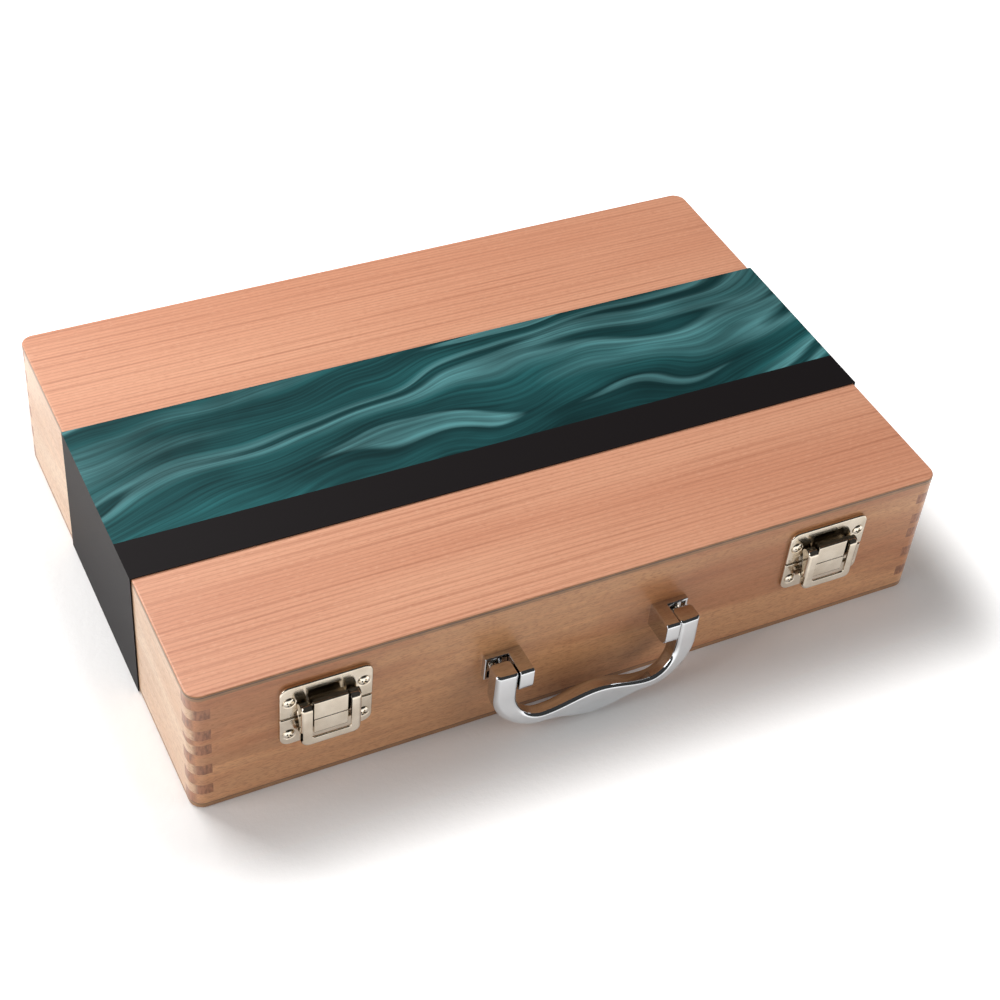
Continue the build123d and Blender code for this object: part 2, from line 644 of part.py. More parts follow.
def make_hinge_leaf(first_knuckle):
    """A leaf below the hinge axis, drawn on the front, with every second knuckle."""
    axis = (HINGE_AXIS_OUTSET, BASE_HEIGHT)
    top = BASE_HEIGHT - HINGE_LEAF_SETBACK
    low = BASE_HEIGHT - HINGE_LEAF_HEIGHT
    outline = Pos(0, (low + top) / 2) * Rectangle(HINGE_LENGTH, top - low)
    outline = fillet(outline.vertices().sort_by(Axis.Y)[:2], HINGE_CORNER)
    leaf = front_plate(outline, 0, HINGE_LEAF)
    for number in range(first_knuckle, HINGE_KNUCKLES, 2):
        start, end = knuckle_span(number)
        leaf += front_block(start, end, 0, HINGE_LEAF, top, BASE_HEIGHT)
        leaf += rod_across(axis, start, end, HINGE_KNUCKLE_RADIUS)
    leaf -= rod_across(axis, -HINGE_LENGTH, HINGE_LENGTH, HINGE_PIN_RADIUS + RUNNING_CLEARANCE)
    height = BASE_HEIGHT - HINGE_SCREW_DROP
    radius = SCREW_SHANK_RADIUS + RUNNING_CLEARANCE
    hole = rod_out(HINGE_SCREW_SPREAD / 2, height, -OVERCUT, HINGE_LEAF + OVERCUT, radius)
    return leaf - both_sides(hole)


def make_lid_leaf():
    """The leaf above the axis, with fins that stop the lid against the base leaf."""
    leaf = mirror(make_hinge_leaf(1), about=Plane.XY.offset(BASE_HEIGHT))
    inner = HINGE_LEAF + RUNNING_CLEARANCE
    hinge_line = Axis((0, FRONT - HINGE_AXIS_OUTSET, BASE_HEIGHT), (1, 0, 0))
    axis = (HINGE_AXIS_OUTSET, BASE_HEIGHT)
    hole = HINGE_PIN_RADIUS + RUNNING_CLEARANCE
    for number in range(1, HINGE_KNUCKLES, 2):
        start, end = knuckle_span(number)
        low = BASE_HEIGHT - STOP_FIN_REACH
        fin = front_block(start, end, inner, inner + HINGE_LEAF, low, BASE_HEIGHT - STOP_FIN_START)
        leaf += fin.rotate(hinge_line, -LID_OPENING)
    return leaf - rod_across(axis, -HINGE_LENGTH, HINGE_LENGTH, hole)


def make_hinge_pin():
    """The hinge pin, with a small head at each end."""
    axis = (HINGE_AXIS_OUTSET, BASE_HEIGHT)
    half = HINGE_LENGTH / 2
    head = rod_across(axis, half, half + HINGE_PIN_HEAD, HINGE_PIN_HEAD_RADIUS)
    return rod_across(axis, -half, half, HINGE_PIN_RADIUS) + both_sides(head)


def make_sleeve():
    """The card sleeve: a top sheet with a flap down each end of the box."""
    inner = LENGTH / 2 + SLEEVE_GAP
    outer = inner + SLEEVE_CARD
    under = HEIGHT + SLEEVE_GAP
    front = SLEEVE_SHIFT - SLEEVE_WIDTH / 2
    back = SLEEVE_SHIFT + SLEEVE_WIDTH / 2
    card = block_between(-outer, outer, front, back, SLEEVE_FLOOR_GAP, under + SLEEVE_CARD)
    return card - block_between(-inner, inner, front - OVERCUT, back + OVERCUT, 0, under)


def latch_pilots(height):
    """Pilot holes for the screws of one plate of both latches."""
    pair = both_sides(pilot_hole(LATCH_SCREW_SPREAD / 2, height))
    return Pos(-LATCH_X, 0, 0) * pair + Pos(LATCH_X, 0, 0) * pair


def hinge_screw_places(height):
    """Where the hinge screws go on one half, drawn on the front."""
    half = HINGE_SCREW_SPREAD / 2
    return [(centre + side * half, height) for centre in (-HINGE_X, HINGE_X) for side in (-1, 1)]


def build_parts():
    """Every piece of the paint box under its own name."""
    parts = {}
    names = ["front", "back", "left", "right"]
    base_boards = dict(zip(names, make_boards(PANEL, BASE_HEIGHT, 0)))
    lid_boards = dict(zip(names, make_boards(BASE_HEIGHT, LID_INSIDE_TOP, SAW_KERF)))

    # Screws and the pilot holes that they fill
    base_boards["front"] -= latch_pilots(LATCH_SCREW_LOW)
    base_boards["front"] -= both_sides(pilot_hole(BAIL_ARM_X, HANDLE_PIVOT[1]))
    lid_boards["front"] -= latch_pilots(LATCH_SCREW_HIGH)
    low_hinge = hinge_screw_places(BASE_HEIGHT - HINGE_SCREW_DROP)
    high_hinge = hinge_screw_places(BASE_HEIGHT + HINGE_SCREW_DROP)
    for boards, places in ((base_boards, low_hinge), (lid_boards, high_hinge)):
        for x, z in places:
            boards["back"] -= to_back(pilot_hole(x, z))
    for name, places in (("hinge_base_screws", low_hinge), ("hinge_lid_screws", high_hinge)):
        parts[name] = Part() + [to_back(front_screw(x, z, HINGE_LEAF)) for x, z in places]
    for name, height in (("latch_base_screws", LATCH_SCREW_LOW), ("strike_screws", LATCH_SCREW_HIGH)):
        pair = both_sides(front_screw(LATCH_SCREW_SPREAD / 2, height, LATCH_PLATE_OUTSET))
        parts[name] = Pos(-LATCH_X, 0, 0) * pair + Pos(LATCH_X, 0, 0) * pair
    head = BRACKET_PLATE - BRACKET_SCREW_SEAT
    screw = front_screw(BAIL_ARM_X, HANDLE_PIVOT[1], BRACKET_SCREW_SEAT, head)
    parts["handle_bracket_screws"] = both_sides(screw)

    # Wooden box
    for name in names:
        parts[f"base_{name}_board"] = base_boards[name]
        parts[f"lid_{name}_board"] = lid_boards[name]
    parts["base_panel"] = make_panel(0, 0)
    parts["lid_panel"] = make_panel(LID_INSIDE_TOP, -1)
    long_divider, cross_dividers = make_dividers()
    parts["divider_long"] = long_divider
    for number, divider in enumerate(cross_dividers, 1):
        parts[f"divider_cross_{number}"] = divider

    # Palette and what holds it
    parts["palette"] = make_palette()
    parts["palette_batten"] = make_batten()
    for side, x in (("left", -BUTTON_X), ("right", BUTTON_X)):
        parts[f"button_block_{side}"] = Pos(x, 0, 0) * make_button_block()
        parts[f"turn_button_{side}"] = Pos(x, 0, 0) * make_turn_button()
        parts[f"button_screw_{side}"] = Pos(x, 0, 0) * make_button_screw()

    # Latches
    lever_pin = rod_across(LEVER_PIVOT, EAR_INNER, LEVER_WIDTH / 2, LEVER_PIN_RADIUS)
    draw_pin = rod_across(DRAW_PIVOT, -LEVER_WIDTH / 2, LEVER_WIDTH / 2, DRAW_PIN_RADIUS)
    latch = {
        "base_plate": make_latch_base(),
        "strike": make_strike(),
        "lever": make_lever(),
        "lever_pins": both_sides(lever_pin),
        "draw_plate": make_draw_plate(),
        "draw_pin": draw_pin,
    }
    for side, x in (("left", -LATCH_X), ("right", LATCH_X)):
        for piece, shape in latch.items():
            parts[f"latch_{side}_{piece}"] = Pos(x, 0, 0) * shape

    # Handle
    bracket = make_bracket()
    parts["handle_bracket_right"] = bracket
    parts["handle_bracket_left"] = mirror(bracket, about=Plane.YZ)
    parts["handle_pins"] = make_handle_pins()
    parts["handle_bail"] = make_bail()

    # Hinges
    for side, x in (("left", HINGE_X), ("right", -HINGE_X)):
        parts[f"hinge_{side}_base_leaf"] = to_back(Pos(x, 0, 0) * make_hinge_leaf(0))
        parts[f"hinge_{side}_lid_leaf"] = to_back(Pos(x, 0, 0) * make_lid_leaf())
        parts[f"hinge_{side}_pin"] = to_back(Pos(x, 0, 0) * make_hinge_pin())

    parts["sleeve"] = make_sleeve()
    return parts


def main():
    """Write one STEP file for each piece."""
    os.makedirs("parts", exist_ok=True)
    for name, shape in build_parts().items():
        shape.label = name
        export_step(shape, f"parts/{name}.step")
        print(name, len(shape.solids()), "solids")


main()
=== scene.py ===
# %% [markdown]
# # A wooden oil paint box, dressed around its CAD frame
# The box is finger-jointed beech with a salmon veneer on top, two nickel draw latches, a chrome
# carrying handle and a printed card sleeve. The solids come from CAD and stay where they are.
# This script gives them their finishes, and models again the few pieces that need finer form.

from math import atan2, cos, pi, radians, sin, tan
from random import Random

import bmesh
import bpy
from mathutils import Matrix, Vector


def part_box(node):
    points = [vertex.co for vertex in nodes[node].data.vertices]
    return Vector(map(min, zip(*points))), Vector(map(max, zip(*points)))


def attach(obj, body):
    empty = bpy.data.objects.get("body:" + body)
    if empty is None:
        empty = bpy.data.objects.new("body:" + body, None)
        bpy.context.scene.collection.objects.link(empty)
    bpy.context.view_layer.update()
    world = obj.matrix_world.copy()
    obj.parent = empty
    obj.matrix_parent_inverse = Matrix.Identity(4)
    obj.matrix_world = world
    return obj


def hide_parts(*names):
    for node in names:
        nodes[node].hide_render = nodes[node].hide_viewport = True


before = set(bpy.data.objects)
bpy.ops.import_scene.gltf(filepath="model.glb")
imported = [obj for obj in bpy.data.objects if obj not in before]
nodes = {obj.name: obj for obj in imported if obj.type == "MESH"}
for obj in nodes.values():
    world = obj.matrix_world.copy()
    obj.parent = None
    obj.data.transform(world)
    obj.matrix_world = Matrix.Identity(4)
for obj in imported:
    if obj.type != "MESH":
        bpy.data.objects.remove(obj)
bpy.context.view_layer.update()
MM = 0.001
SIDES = ("left", "right")

# %% [markdown]
# ## Camera
# The photograph was taken from the left of the front and from well above. Its camera was worked
# out by fitting the box's edges: a place in millimetres and three directions. A lens of 68.6 mm
# on the default 36 mm sensor then gives the photograph's perspective with no shift.

# %% Camera
CAMERA_PLACE = (-357.29, -659.17, 715.69)
CAMERA_RIGHT = (0.89783819, -0.43357743, 0.07679321)
CAMERA_UP = (0.24768387, 0.64148977, 0.72604654)
CAMERA_BACK = (-0.36405945, -0.63285187, 0.68334415)
CAMERA_LENS = 68.56


def place_camera():
    """The scene's camera, at the photograph's viewpoint."""
    camera = bpy.data.objects.new("camera", bpy.data.cameras.new("camera"))
    bpy.context.scene.collection.objects.link(camera)
    camera.data.lens = CAMERA_LENS
    turn = Matrix((CAMERA_RIGHT, CAMERA_UP, CAMERA_BACK)).transposed().to_4x4()
    camera.matrix_world = Matrix.Translation(Vector(CAMERA_PLACE) * MM) @ turn
    bpy.context.scene.camera = camera
    return camera


print("camera lens", place_camera().data.lens, "mm")

# %% [markdown]
# ## A short way to write node trees
# Every finish here is a tree of shader nodes. Making each node takes three steps: add it, set its
# inputs, link it. `Tree` does them in one call, so that a finish reads from top to bottom. An input
# is given either a plain value or another node's output.

# %% Node trees


class Tree:
    """A node tree that is written one node to a line."""

    def __init__(self, tree):
        self.tree = tree

    def give(self, socket, value):
        """Link an output to a socket, or set the socket's own value."""
        if isinstance(value, bpy.types.NodeSocket):
            self.tree.links.new(value, socket)
        elif isinstance(value, tuple) and len(value) == 3 and socket.type == "RGBA":
            socket.default_value = (*value, 1)
        else:
            socket.default_value = value

    def add(self, kind, *inputs, **settings):
        """A node of that kind. Inputs are (socket, value or output) pairs."""
        node = self.tree.nodes.new(kind)
        for setting, value in settings.items():
            setattr(node, setting, value)
        for socket, value in inputs:
            self.give(node.inputs[socket], value)
        return node

    def maths(self, operation, a, b=0.0, c=0.0):
        """The result of one sum on numbers."""
        return self.add("ShaderNodeMath", (0, a), (1, b), (2, c), operation=operation).outputs[0]

    def noise(self, vector, scale, detail=2.0, roughness=0.5, distortion=0.0, offset=(0, 0, 0)):
        """Noise with its own number of features a metre along X, Y and Z."""
        inputs = (("Vector", vector), ("Scale", scale), ("Location", offset))
        mapped = self.add("ShaderNodeMapping", *inputs)
        return self.add(
            "ShaderNodeTexNoise", ("Vector", mapped.outputs[0]), ("Scale", 1.0), ("Detail", detail),
            ("Roughness", roughness), ("Distortion", distortion),
        ).outputs["Fac"]

    def ramp(self, factor, *stops):
        """A colour ramp through (place, colour or grey) stops."""
        node = self.add("ShaderNodeValToRGB", ("Fac", factor))
        elements = node.color_ramp.elements
        while len(elements) < len(stops):
            elements.new(0.5)
        for element, (place, colour) in zip(elements, stops):
            element.position = place
            shade = colour if isinstance(colour, tuple) else (colour,) * 3
            element.color = (*shade, 1)
        return node.outputs["Color"]

    def mix(self, factor, a, b, blend="MIX"):
        """Two colours mixed by a factor."""
        node = self.add("ShaderNodeMix", data_type="RGBA", blend_type=blend)
        for socket, value in zip((node.inputs[0], node.inputs[6], node.inputs[7]), (factor, a, b)):
            self.give(socket, value)
        return node.outputs[2]

    def split(self, vector):
        """The X, Y and Z of a vector."""
        return self.add("ShaderNodeSeparateXYZ", ("Vector", vector)).outputs

    def vector(self, operation, a, b=(0, 0, 0), scale=1.0):
        """The result of one sum on vectors."""
        inputs = ((0, a), (1, b), (3, scale))
        return self.add("ShaderNodeVectorMath", *inputs, operation=operation).outputs[0]

    def bump(self, shader, height, strength, distance):
        """Relief on a shader, from a pattern and a depth in metres."""
        inputs = (("Height", height), ("Strength", strength), ("Distance", distance))
        self.give(shader.inputs["Normal"], self.add("ShaderNodeBump", *inputs).outputs[0])


def new_finish(name):
    """A new material, its tree and its Principled shader."""
    material = bpy.data.materials.new(name)
    material.use_nodes = True
    return material, Tree(material.node_tree), material.node_tree.nodes["Principled BSDF"]


def wear(node_name, material):
    """Give a CAD node one material, all over."""
    mesh = nodes[node_name].data
    mesh.materials.clear()
    mesh.materials.append(material)


def lacquer(shader, coat):
    """Satin wood under a thin clear coat."""
    shader.inputs["Roughness"].default_value = 0.42
    shader.inputs["Coat Weight"].default_value = coat
    shader.inputs["Coat Roughness"].default_value = 0.22


print("node helpers ready")

# %% [markdown]
# ## Beech boards
# The sides are solid beech under satin lacquer. Beech has a quiet, pinkish ground with thousands
# of short dark flecks along the grain, which wander a little, and slow bands where the saw cut
# across the rings. Object coordinates run in metres through the whole box, so the figure goes on
# from the base into the lid, as it does when one box is sawn in two. A face that looks along the
# grain shows end grain, which soaks up lacquer and turns darker and redder. The shader knows such
# a face by its normal in object coordinates, which turns with the piece.

# %% Beech
BEECH_LIGHT = (0.72, 0.360, 0.165)
BEECH_DARK = (0.53, 0.205, 0.080)
# The end boards' paler, greyer pair is painted sheen: it stands for the lacquer's haze under the
# side lamp
BEECH_PALE_PAINTED_SHEEN = (0.78, 0.550, 0.360)
BEECH_TAN_PAINTED_SHEEN = (0.70, 0.420, 0.240)
BEECH_FLECK = (0.33, 0.110, 0.040)
BEECH_END = (0.42, 0.165, 0.075)
BEECH_WANDER = (0, 0, 3.0 * MM)


def beech(name, along_x, light, dark):
    """Lacquered beech with its grain along X or along Y."""
    material, tree, shader = new_finish(name)
    place = tree.add("ShaderNodeTexCoord")
    spot = place.outputs["Object"]

    def grain(along, across):
        return (along, across, across) if along_x else (across, along, across)

    # The grain wanders: slow noise moves each spot up by as much as 3 mm
    wander = tree.vector("SCALE", BEECH_WANDER, scale=tree.noise(spot, grain(14, 60), 1))
    path = tree.vector("ADD", spot, wander)
    figure = tree.noise(path, grain(4.5, 24), 3, 0.5, 1.1, (0.62, 0.7, 0.2))
    streaks = tree.noise(path, grain(9, 420), 3, 0.6)
    flecks = tree.noise(path, grain(300, 1300), 2, 0.55, 0.6)
    ground = tree.ramp(figure, (0.36, dark), (0.58, light))
    ground = tree.mix(0.40, ground, tree.ramp(streaks, (0.3, 0.55), (0.7, 1.0)), "MULTIPLY")
    ground = tree.mix(tree.ramp(flecks, (0.46, 0.0), (0.70, 0.50)), ground, BEECH_FLECK)
    facing = tree.maths("ABSOLUTE", tree.split(place.outputs["Normal"])[0 if along_x else 1])
    end = tree.ramp(facing, (0.60, 0.0), (0.85, 1.0))
    pores = tree.noise(spot, (700, 700, 260), 2, 0.6)
    pores = tree.ramp(pores, (0.35, 0.45), (0.62, 1.0))
    end_ground = tree.mix(0.8, BEECH_END, pores, "MULTIPLY")
    tree.give(shader.inputs["Base Color"], tree.mix(end, ground, end_ground))
    lacquer(shader, 0.30)
    tree.bump(shader, flecks, 0.10, 0.4 * MM)
    return material


long_boards = beech("beech_grain_along_length", True, BEECH_LIGHT, BEECH_DARK)
# The end boards get the paler pair, a painted sheen for the lacquer's haze under the side lamp
end_boards_painted_sheen = beech("beech_painted_sheen_grain_along_width", False, BEECH_PALE_PAINTED_SHEEN, BEECH_TAN_PAINTED_SHEEN)
for half in ("base", "lid"):
    for side in ("front", "back"):
        wear(f"{half}_{side}_board", long_boards)
    for side in SIDES:
        wear(f"{half}_{side}_board", end_boards_painted_sheen)
print("beech on 8 boards")

# %% [markdown]
# ## Veneered panels
# Top and bottom are thin plywood with a salmon face veneer, sliced so that the rings show as fine
# lines along the box, 6 or 7 mm apart. Noise alone gives streaks that are too loose for that. A
# sine across the grain gives even lines, and noise then bends them, moves them closer or farther
# apart, and lets some fade. The cut edge shows the core instead: brown, with dark glue lines.
# Again the object normal tells face from edge.

# %% Veneer
VENEER_LIGHT = (0.84, 0.415, 0.255)
VENEER_DARK = (0.73, 0.320, 0.188)
VENEER_LINE = (0.47, 0.165, 0.085)
PLY_CORE = (0.40, 0.20, 0.085)
PLY_GLUE = (0.10, 0.055, 0.030)
VENEER_FIBRE = (0.92, 0.56, 0.38)
LINE_SPACING = 6.4 * MM
FINE_SPACING = 0.37 * LINE_SPACING
LINE_BEND = 9.0 * MM
PLY_SHEET = 1.6 * MM


def growth_lines(tree, spot, spacing, offset):
    """-1 to 1: even lines along X, bent and spread by slow noise."""
    drift = tree.noise(spot, (2.6, 26, 1), 2, 0.45, 0, offset)
    bent = tree.maths("MULTIPLY_ADD", drift, LINE_BEND, tree.split(spot)[1])
    return tree.maths("SINE", tree.maths("MULTIPLY", bent, 2 * pi / spacing))


def veneer():
    """Salmon veneer with fine lines along X, and a plywood edge."""
    material, tree, shader = new_finish("salmon_veneer")
    place = tree.add("ShaderNodeTexCoord")
    spot = place.outputs["Object"]
    slow = tree.noise(spot, (2.2, 17, 1), 2, 0.5, 0.3, (0.3, 0, 0))
    strength = tree.ramp(tree.noise(spot, (8, 90, 1), 2), (0.38, 0.10), (0.66, 1.0))
    lines = growth_lines(tree, spot, LINE_SPACING, (0.4, 0.2, 0))
    lines = tree.ramp(lines, (0.60, 0.0), (1.0, 0.55))
    fine = growth_lines(tree, spot, FINE_SPACING, (0.9, 0.5, 0))
    fine = tree.ramp(fine, (0.2, 0.0), (1.0, 0.30))
    flecks = tree.noise(spot, (300, 1300, 1), 2, 0.5)
    fibres = tree.noise(spot, (60, 1500, 1), 2, 0.6)
    ground = tree.ramp(slow, (0.35, VENEER_DARK), (0.65, VENEER_LIGHT))
    ground = tree.mix(tree.maths("MULTIPLY", lines, strength), ground, VENEER_LINE)
    ground = tree.mix(fine, ground, VENEER_LINE)
    ground = tree.mix(0.30, ground, tree.ramp(fibres, (0.3, 0.70), (0.7, 1.0)), "MULTIPLY")
    ground = tree.mix(tree.ramp(flecks, (0.58, 0.0), (0.74, 0.36)), ground, VENEER_LINE)
    ground = tree.mix(tree.ramp(flecks, (0.26, 0.30), (0.40, 0.0)), ground, VENEER_FIBRE)
    upright = tree.maths("ABSOLUTE", tree.split(place.outputs["Normal"])[2])
    edge = tree.ramp(upright, (0.55, 1.0), (0.80, 0.0))
    ply = tree.maths("MULTIPLY", tree.maths("PINGPONG", tree.split(spot)[2], PLY_SHEET), 600.0)
    core = tree.mix(tree.ramp(ply, (0.08, 1.0), (0.30, 0.0)), PLY_CORE, PLY_GLUE)
    mottle = tree.noise(spot, (160, 160, 700), 2)
    core = tree.mix(0.6, core, tree.ramp(mottle, (0.3, 0.5), (0.7, 1.0)), "MULTIPLY")
    tree.give(shader.inputs["Base Color"], tree.mix(edge, ground, core))
    lacquer(shader, 0.25)
    tree.bump(shader, flecks, 0.08, 0.4 * MM)
    return material


panel_finish = veneer()
for name in ("lid_panel", "base_panel"):
    wear(name, panel_finish)
print("veneer on 2 panels")

# %% [markdown]
# ## Inside wood
# The dividers and the small lid fittings are plain sanded softwood, and the palette is oiled
# plywood. Neither shows while the box is shut, but both do when the lid is open.

# %% Inside wood
SANDED_LIGHT = (0.70, 0.47, 0.27)
SANDED_DARK = (0.58, 0.35, 0.18)
OILED_LIGHT = (0.52, 0.29, 0.13)
OILED_DARK = (0.40, 0.20, 0.085)


def plain_wood(name, light, dark, roughness, scale=(8, 260, 60)):
    """Sanded wood with its grain along X."""
    material, tree, shader = new_finish(name)
    spot = tree.add("ShaderNodeTexCoord").outputs["Object"]
    figure = tree.noise(spot, scale, 3, 0.55, 0.4)
    fibres = tree.noise(spot, (40, 1200, 1200), 2, 0.6)
    ground = tree.ramp(figure, (0.35, dark), (0.65, light))
    ground = tree.mix(0.3, ground, tree.ramp(fibres, (0.3, 0.6), (0.7, 1.0)), "MULTIPLY")
    tree.give(shader.inputs["Base Color"], ground)
    shader.inputs["Roughness"].default_value = roughness
    tree.bump(shader, fibres, 0.12, 0.4 * MM)
    return material


sanded = plain_wood("sanded_inside_wood", SANDED_LIGHT, SANDED_DARK, 0.6)
oiled = plain_wood("oiled_palette_ply", OILED_LIGHT, OILED_DARK, 0.35, (5, 60, 60))
inside = ["divider_long", *(f"divider_cross_{number}" for number in (1, 2, 3)), "palette_batten"]
inside += [f"{piece}_{side}" for piece in ("button_block", "turn_button") for side in SIDES]
for name in inside:
    wear(name, sanded)
wear("palette", oiled)
print("inside wood on", len(inside) + 1, "nodes")

# %% [markdown]
# ## Plated metal
# The latches are stamped steel with a warm satin nickel plate, and the handle is a zinc casting
# with bright chrome. Both are mirrors of what stands round them, so their look comes from the
# floor and the lights. Nickel only needs its warm tint, some softness and very fine scratches.

# %% Metals
NICKEL = (0.74, 0.665, 0.555)
NICKEL_CLOUD = (0.62, 0.54, 0.43)
BRIGHT_NICKEL = (0.78, 0.72, 0.62)
BRIGHT_NICKEL_CLOUD = (0.72, 0.66, 0.56)
CHROME = (0.70, 0.715, 0.73)
CHROME_CLOUD = (0.66, 0.675, 0.69)


def plated(name, tint, cloud, roughness, scratch):
    """Plated metal with fine scratches and a slow change of tint."""
    material, tree, shader = new_finish(name)
    spot = tree.add("ShaderNodeTexCoord").outputs["Object"]
    brushed = tree.noise(spot, (240, 2600, 2600), 3, 0.6)
    cloudy = tree.ramp(tree.noise(spot, (110, 110, 110), 2), (0.35, 0.0), (0.7, 1.0))
    shader.inputs["Metallic"].default_value = 1.0
    tree.give(shader.inputs["Base Color"], tree.mix(cloudy, tint, cloud))
    rough = tree.add(
        "ShaderNodeMapRange", ("Value", brushed), ("From Min", 0.3), ("From Max", 0.7),
        ("To Min", roughness - scratch), ("To Max", roughness + scratch),
    )
    tree.give(shader.inputs["Roughness"], rough.outputs[0])
    tree.bump(shader, brushed, scratch, 0.1 * MM)
    return material


nickel = plated("satin_nickel", NICKEL, NICKEL_CLOUD, 0.17, 0.05)
bright_nickel = plated("bright_nickel", BRIGHT_NICKEL, BRIGHT_NICKEL_CLOUD, 0.13, 0.03)
chrome = plated("bright_chrome", CHROME, CHROME_CLOUD, 0.045, 0.01)
metal_nodes = 0
for name in nodes:
    if name.startswith(("latch_", "hinge_", "strike_", "button_screw")):
        wear(name, bright_nickel if "pin" in name or "screw" in name else nickel)
        metal_nodes += 1
    elif name.startswith("handle_"):
        wear(name, bright_nickel if "screw" in name else chrome)
        metal_nodes += 1
print("metals on", metal_nodes, "nodes")

# %% [markdown]
# ## Printed card sleeve
# The sleeve is thin card printed edge to edge: a charcoal strip along the front, charcoal flaps
# down the ends, and a broad dark teal field. Its print here is a plain pattern of its own: long
# soft sweeps, as a wide brush leaves them, with fine bristle marks that follow each sweep. A wave
# texture would be too even. Noise pulled out along one direction gives loose sweeps, and a second
# noise, bent by the first, gives bristle marks that run with them. There are no words on it.

# %% Sleeve print
CHARCOAL = (0.0120, 0.0095, 0.0100)
TEAL_DEEP = (0.003, 0.022, 0.025)
TEAL_MID = (0.018, 0.108, 0.114)
TEAL_PALE = (0.150, 0.385, 0.400)
STRIP_EDGE = -31.0 * MM
SWEEP_TURN = (0, 0, radians(-9))
SWEEP_DRIFT = (0, 85.0 * MM, 0)


def sleeve_print():
    """Matt printed card: charcoal round a teal field of brushed sweeps."""
    material, tree, shader = new_finish("printed_card")
    place = tree.add("ShaderNodeTexCoord")
    spot = place.outputs["Object"]
    turned = tree.add("ShaderNodeMapping", ("Vector", spot), ("Rotation", SWEEP_TURN)).outputs[0]
    drift = tree.noise(turned, (5.5, 9, 1), 2, 0.5, 0, (0.7, 0.1, 0))
    path = tree.vector("ADD", turned, tree.vector("SCALE", SWEEP_DRIFT, scale=drift))
    sweeps = tree.noise(path, (2.6, 27, 1), 2, 0.45, 0.15, (0.2, 0.45, 0))
    bristles = tree.noise(path, (9, 520, 1), 3, 0.6)
    ridges = tree.ramp(
        sweeps, (0.30, TEAL_MID), (0.40, TEAL_DEEP), (0.425, TEAL_PALE), (0.50, TEAL_MID),
        (0.585, TEAL_DEEP), (0.60, TEAL_PALE), (0.72, TEAL_MID),
    )
    teal = tree.mix(0.40, ridges, TEAL_MID)
    bristles = tree.ramp(bristles, (0.30, 0.45), (0.55, 1.0), (0.72, 1.45))
    teal = tree.mix(0.85, teal, bristles, "MULTIPLY")
    patches = tree.noise(turned, (8, 14, 1), 3, 0.55, 0.4, (0.1, 0.8, 0))
    teal = tree.mix(0.9, teal, tree.ramp(patches, (0.32, 0.35), (0.66, 1.15)), "MULTIPLY")
    behind = tree.maths("GREATER_THAN", tree.split(spot)[1], STRIP_EDGE)
    upward = tree.maths("GREATER_THAN", tree.split(place.outputs["Normal"])[2], 0.5)
    field = tree.maths("MULTIPLY", behind, upward)
    fibre = tree.noise(spot, (1500, 1500, 1500), 2)
    tree.give(shader.inputs["Base Color"], tree.mix(field, CHARCOAL, teal))
    shader.inputs["Roughness"].default_value = 0.55
    shader.inputs["Specular IOR Level"].default_value = 0.10
    tree.bump(shader, fibre, 0.05, 0.2 * MM)
    return material


wear("sleeve", sleeve_print())
print("print on the sleeve")

# %% [markdown]
# ## Tools for solid forms
# The fittings are small, and up close their rounded edges are most of what is seen. Each is made
# as a plain outline run along a line, which bmesh turns into a solid. Then its chosen edges are
# rounded, and booleans cut and join the forms as a stamping tool would. Places on the front are
# given as in the CAD: how far along X, how far out from the front face, and how high, all in
# millimetres. The front face and the saw line between base and lid are read from the CAD.

# %% Forms on the front face
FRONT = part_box("base_front_board")[0][1]
SAW_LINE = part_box("base_front_board")[1][2] / MM
SHARP_ENOUGH = radians(35)
SMOOTH_BELOW = radians(32)
WELD = 0.002 * MM


def on_front(x, outset, height):
    """A place given by its X, its outset from the front face and its height."""
    return Vector((x * MM, FRONT - outset * MM, height * MM))


def rounded(*corners, steps=6):
    """An outline through (u, v, radius) corners."""
    outline = []
    for number, (u, v, radius) in enumerate(corners):
        here = Vector((u, v))
        if not radius:
            outline.append((u, v))
            continue
        before = (Vector(corners[number - 1][:2]) - here).normalized()
        after = (Vector(corners[(number + 1) % len(corners)][:2]) - here).normalized()
        half = before.angle(after) / 2
        centre = here + (before + after).normalized() * (radius / sin(half))
        start = here + before * (radius / tan(half)) - centre
        end = here + after * (radius / tan(half)) - centre
        first = atan2(start.y, start.x)
        sweep = (atan2(end.y, end.x) - first + pi) % (2 * pi) - pi
        for step in range(steps + 1):
            angle = first + sweep * step / steps
            outline.append((centre.x + radius * cos(angle), centre.y + radius * sin(angle)))
    return outline


def arc(centre, radii, start, end, steps=10):
    """Points along part of an ellipse, its angles in degrees."""
    turns = [radians(start + (end - start) * step / steps) for step in range(steps + 1)]
    return [(centre[0] + radii[0] * cos(turn), centre[1] + radii[1] * sin(turn)) for turn in turns]


def solid(rings):
    """A closed form through rings of points, with a flat end on the first and the last."""
    form = bmesh.new()
    loops = [[form.verts.new(point) for point in ring] for ring in rings]
    form.faces.new(loops[0])
    form.faces.new(loops[-1][::-1])
    for one, two in zip(loops, loops[1:]):
        for a in range(len(one)):
            b = (a + 1) % len(one)
            form.faces.new((one[a], two[a], two[b], one[b]))
    bmesh.ops.recalc_face_normals(form, faces=form.faces)
    return form


def plate(outline, low, high):
    """An outline of X and height, run outwards between two outsets."""
    return solid([[on_front(x, outset, z) for x, z in outline] for outset in (low, high)])


def bar(outline, start, end):
    """An outline of outset and height, run along X."""
    return solid([[on_front(x, outset, z) for outset, z in outline] for x in (start, end)])


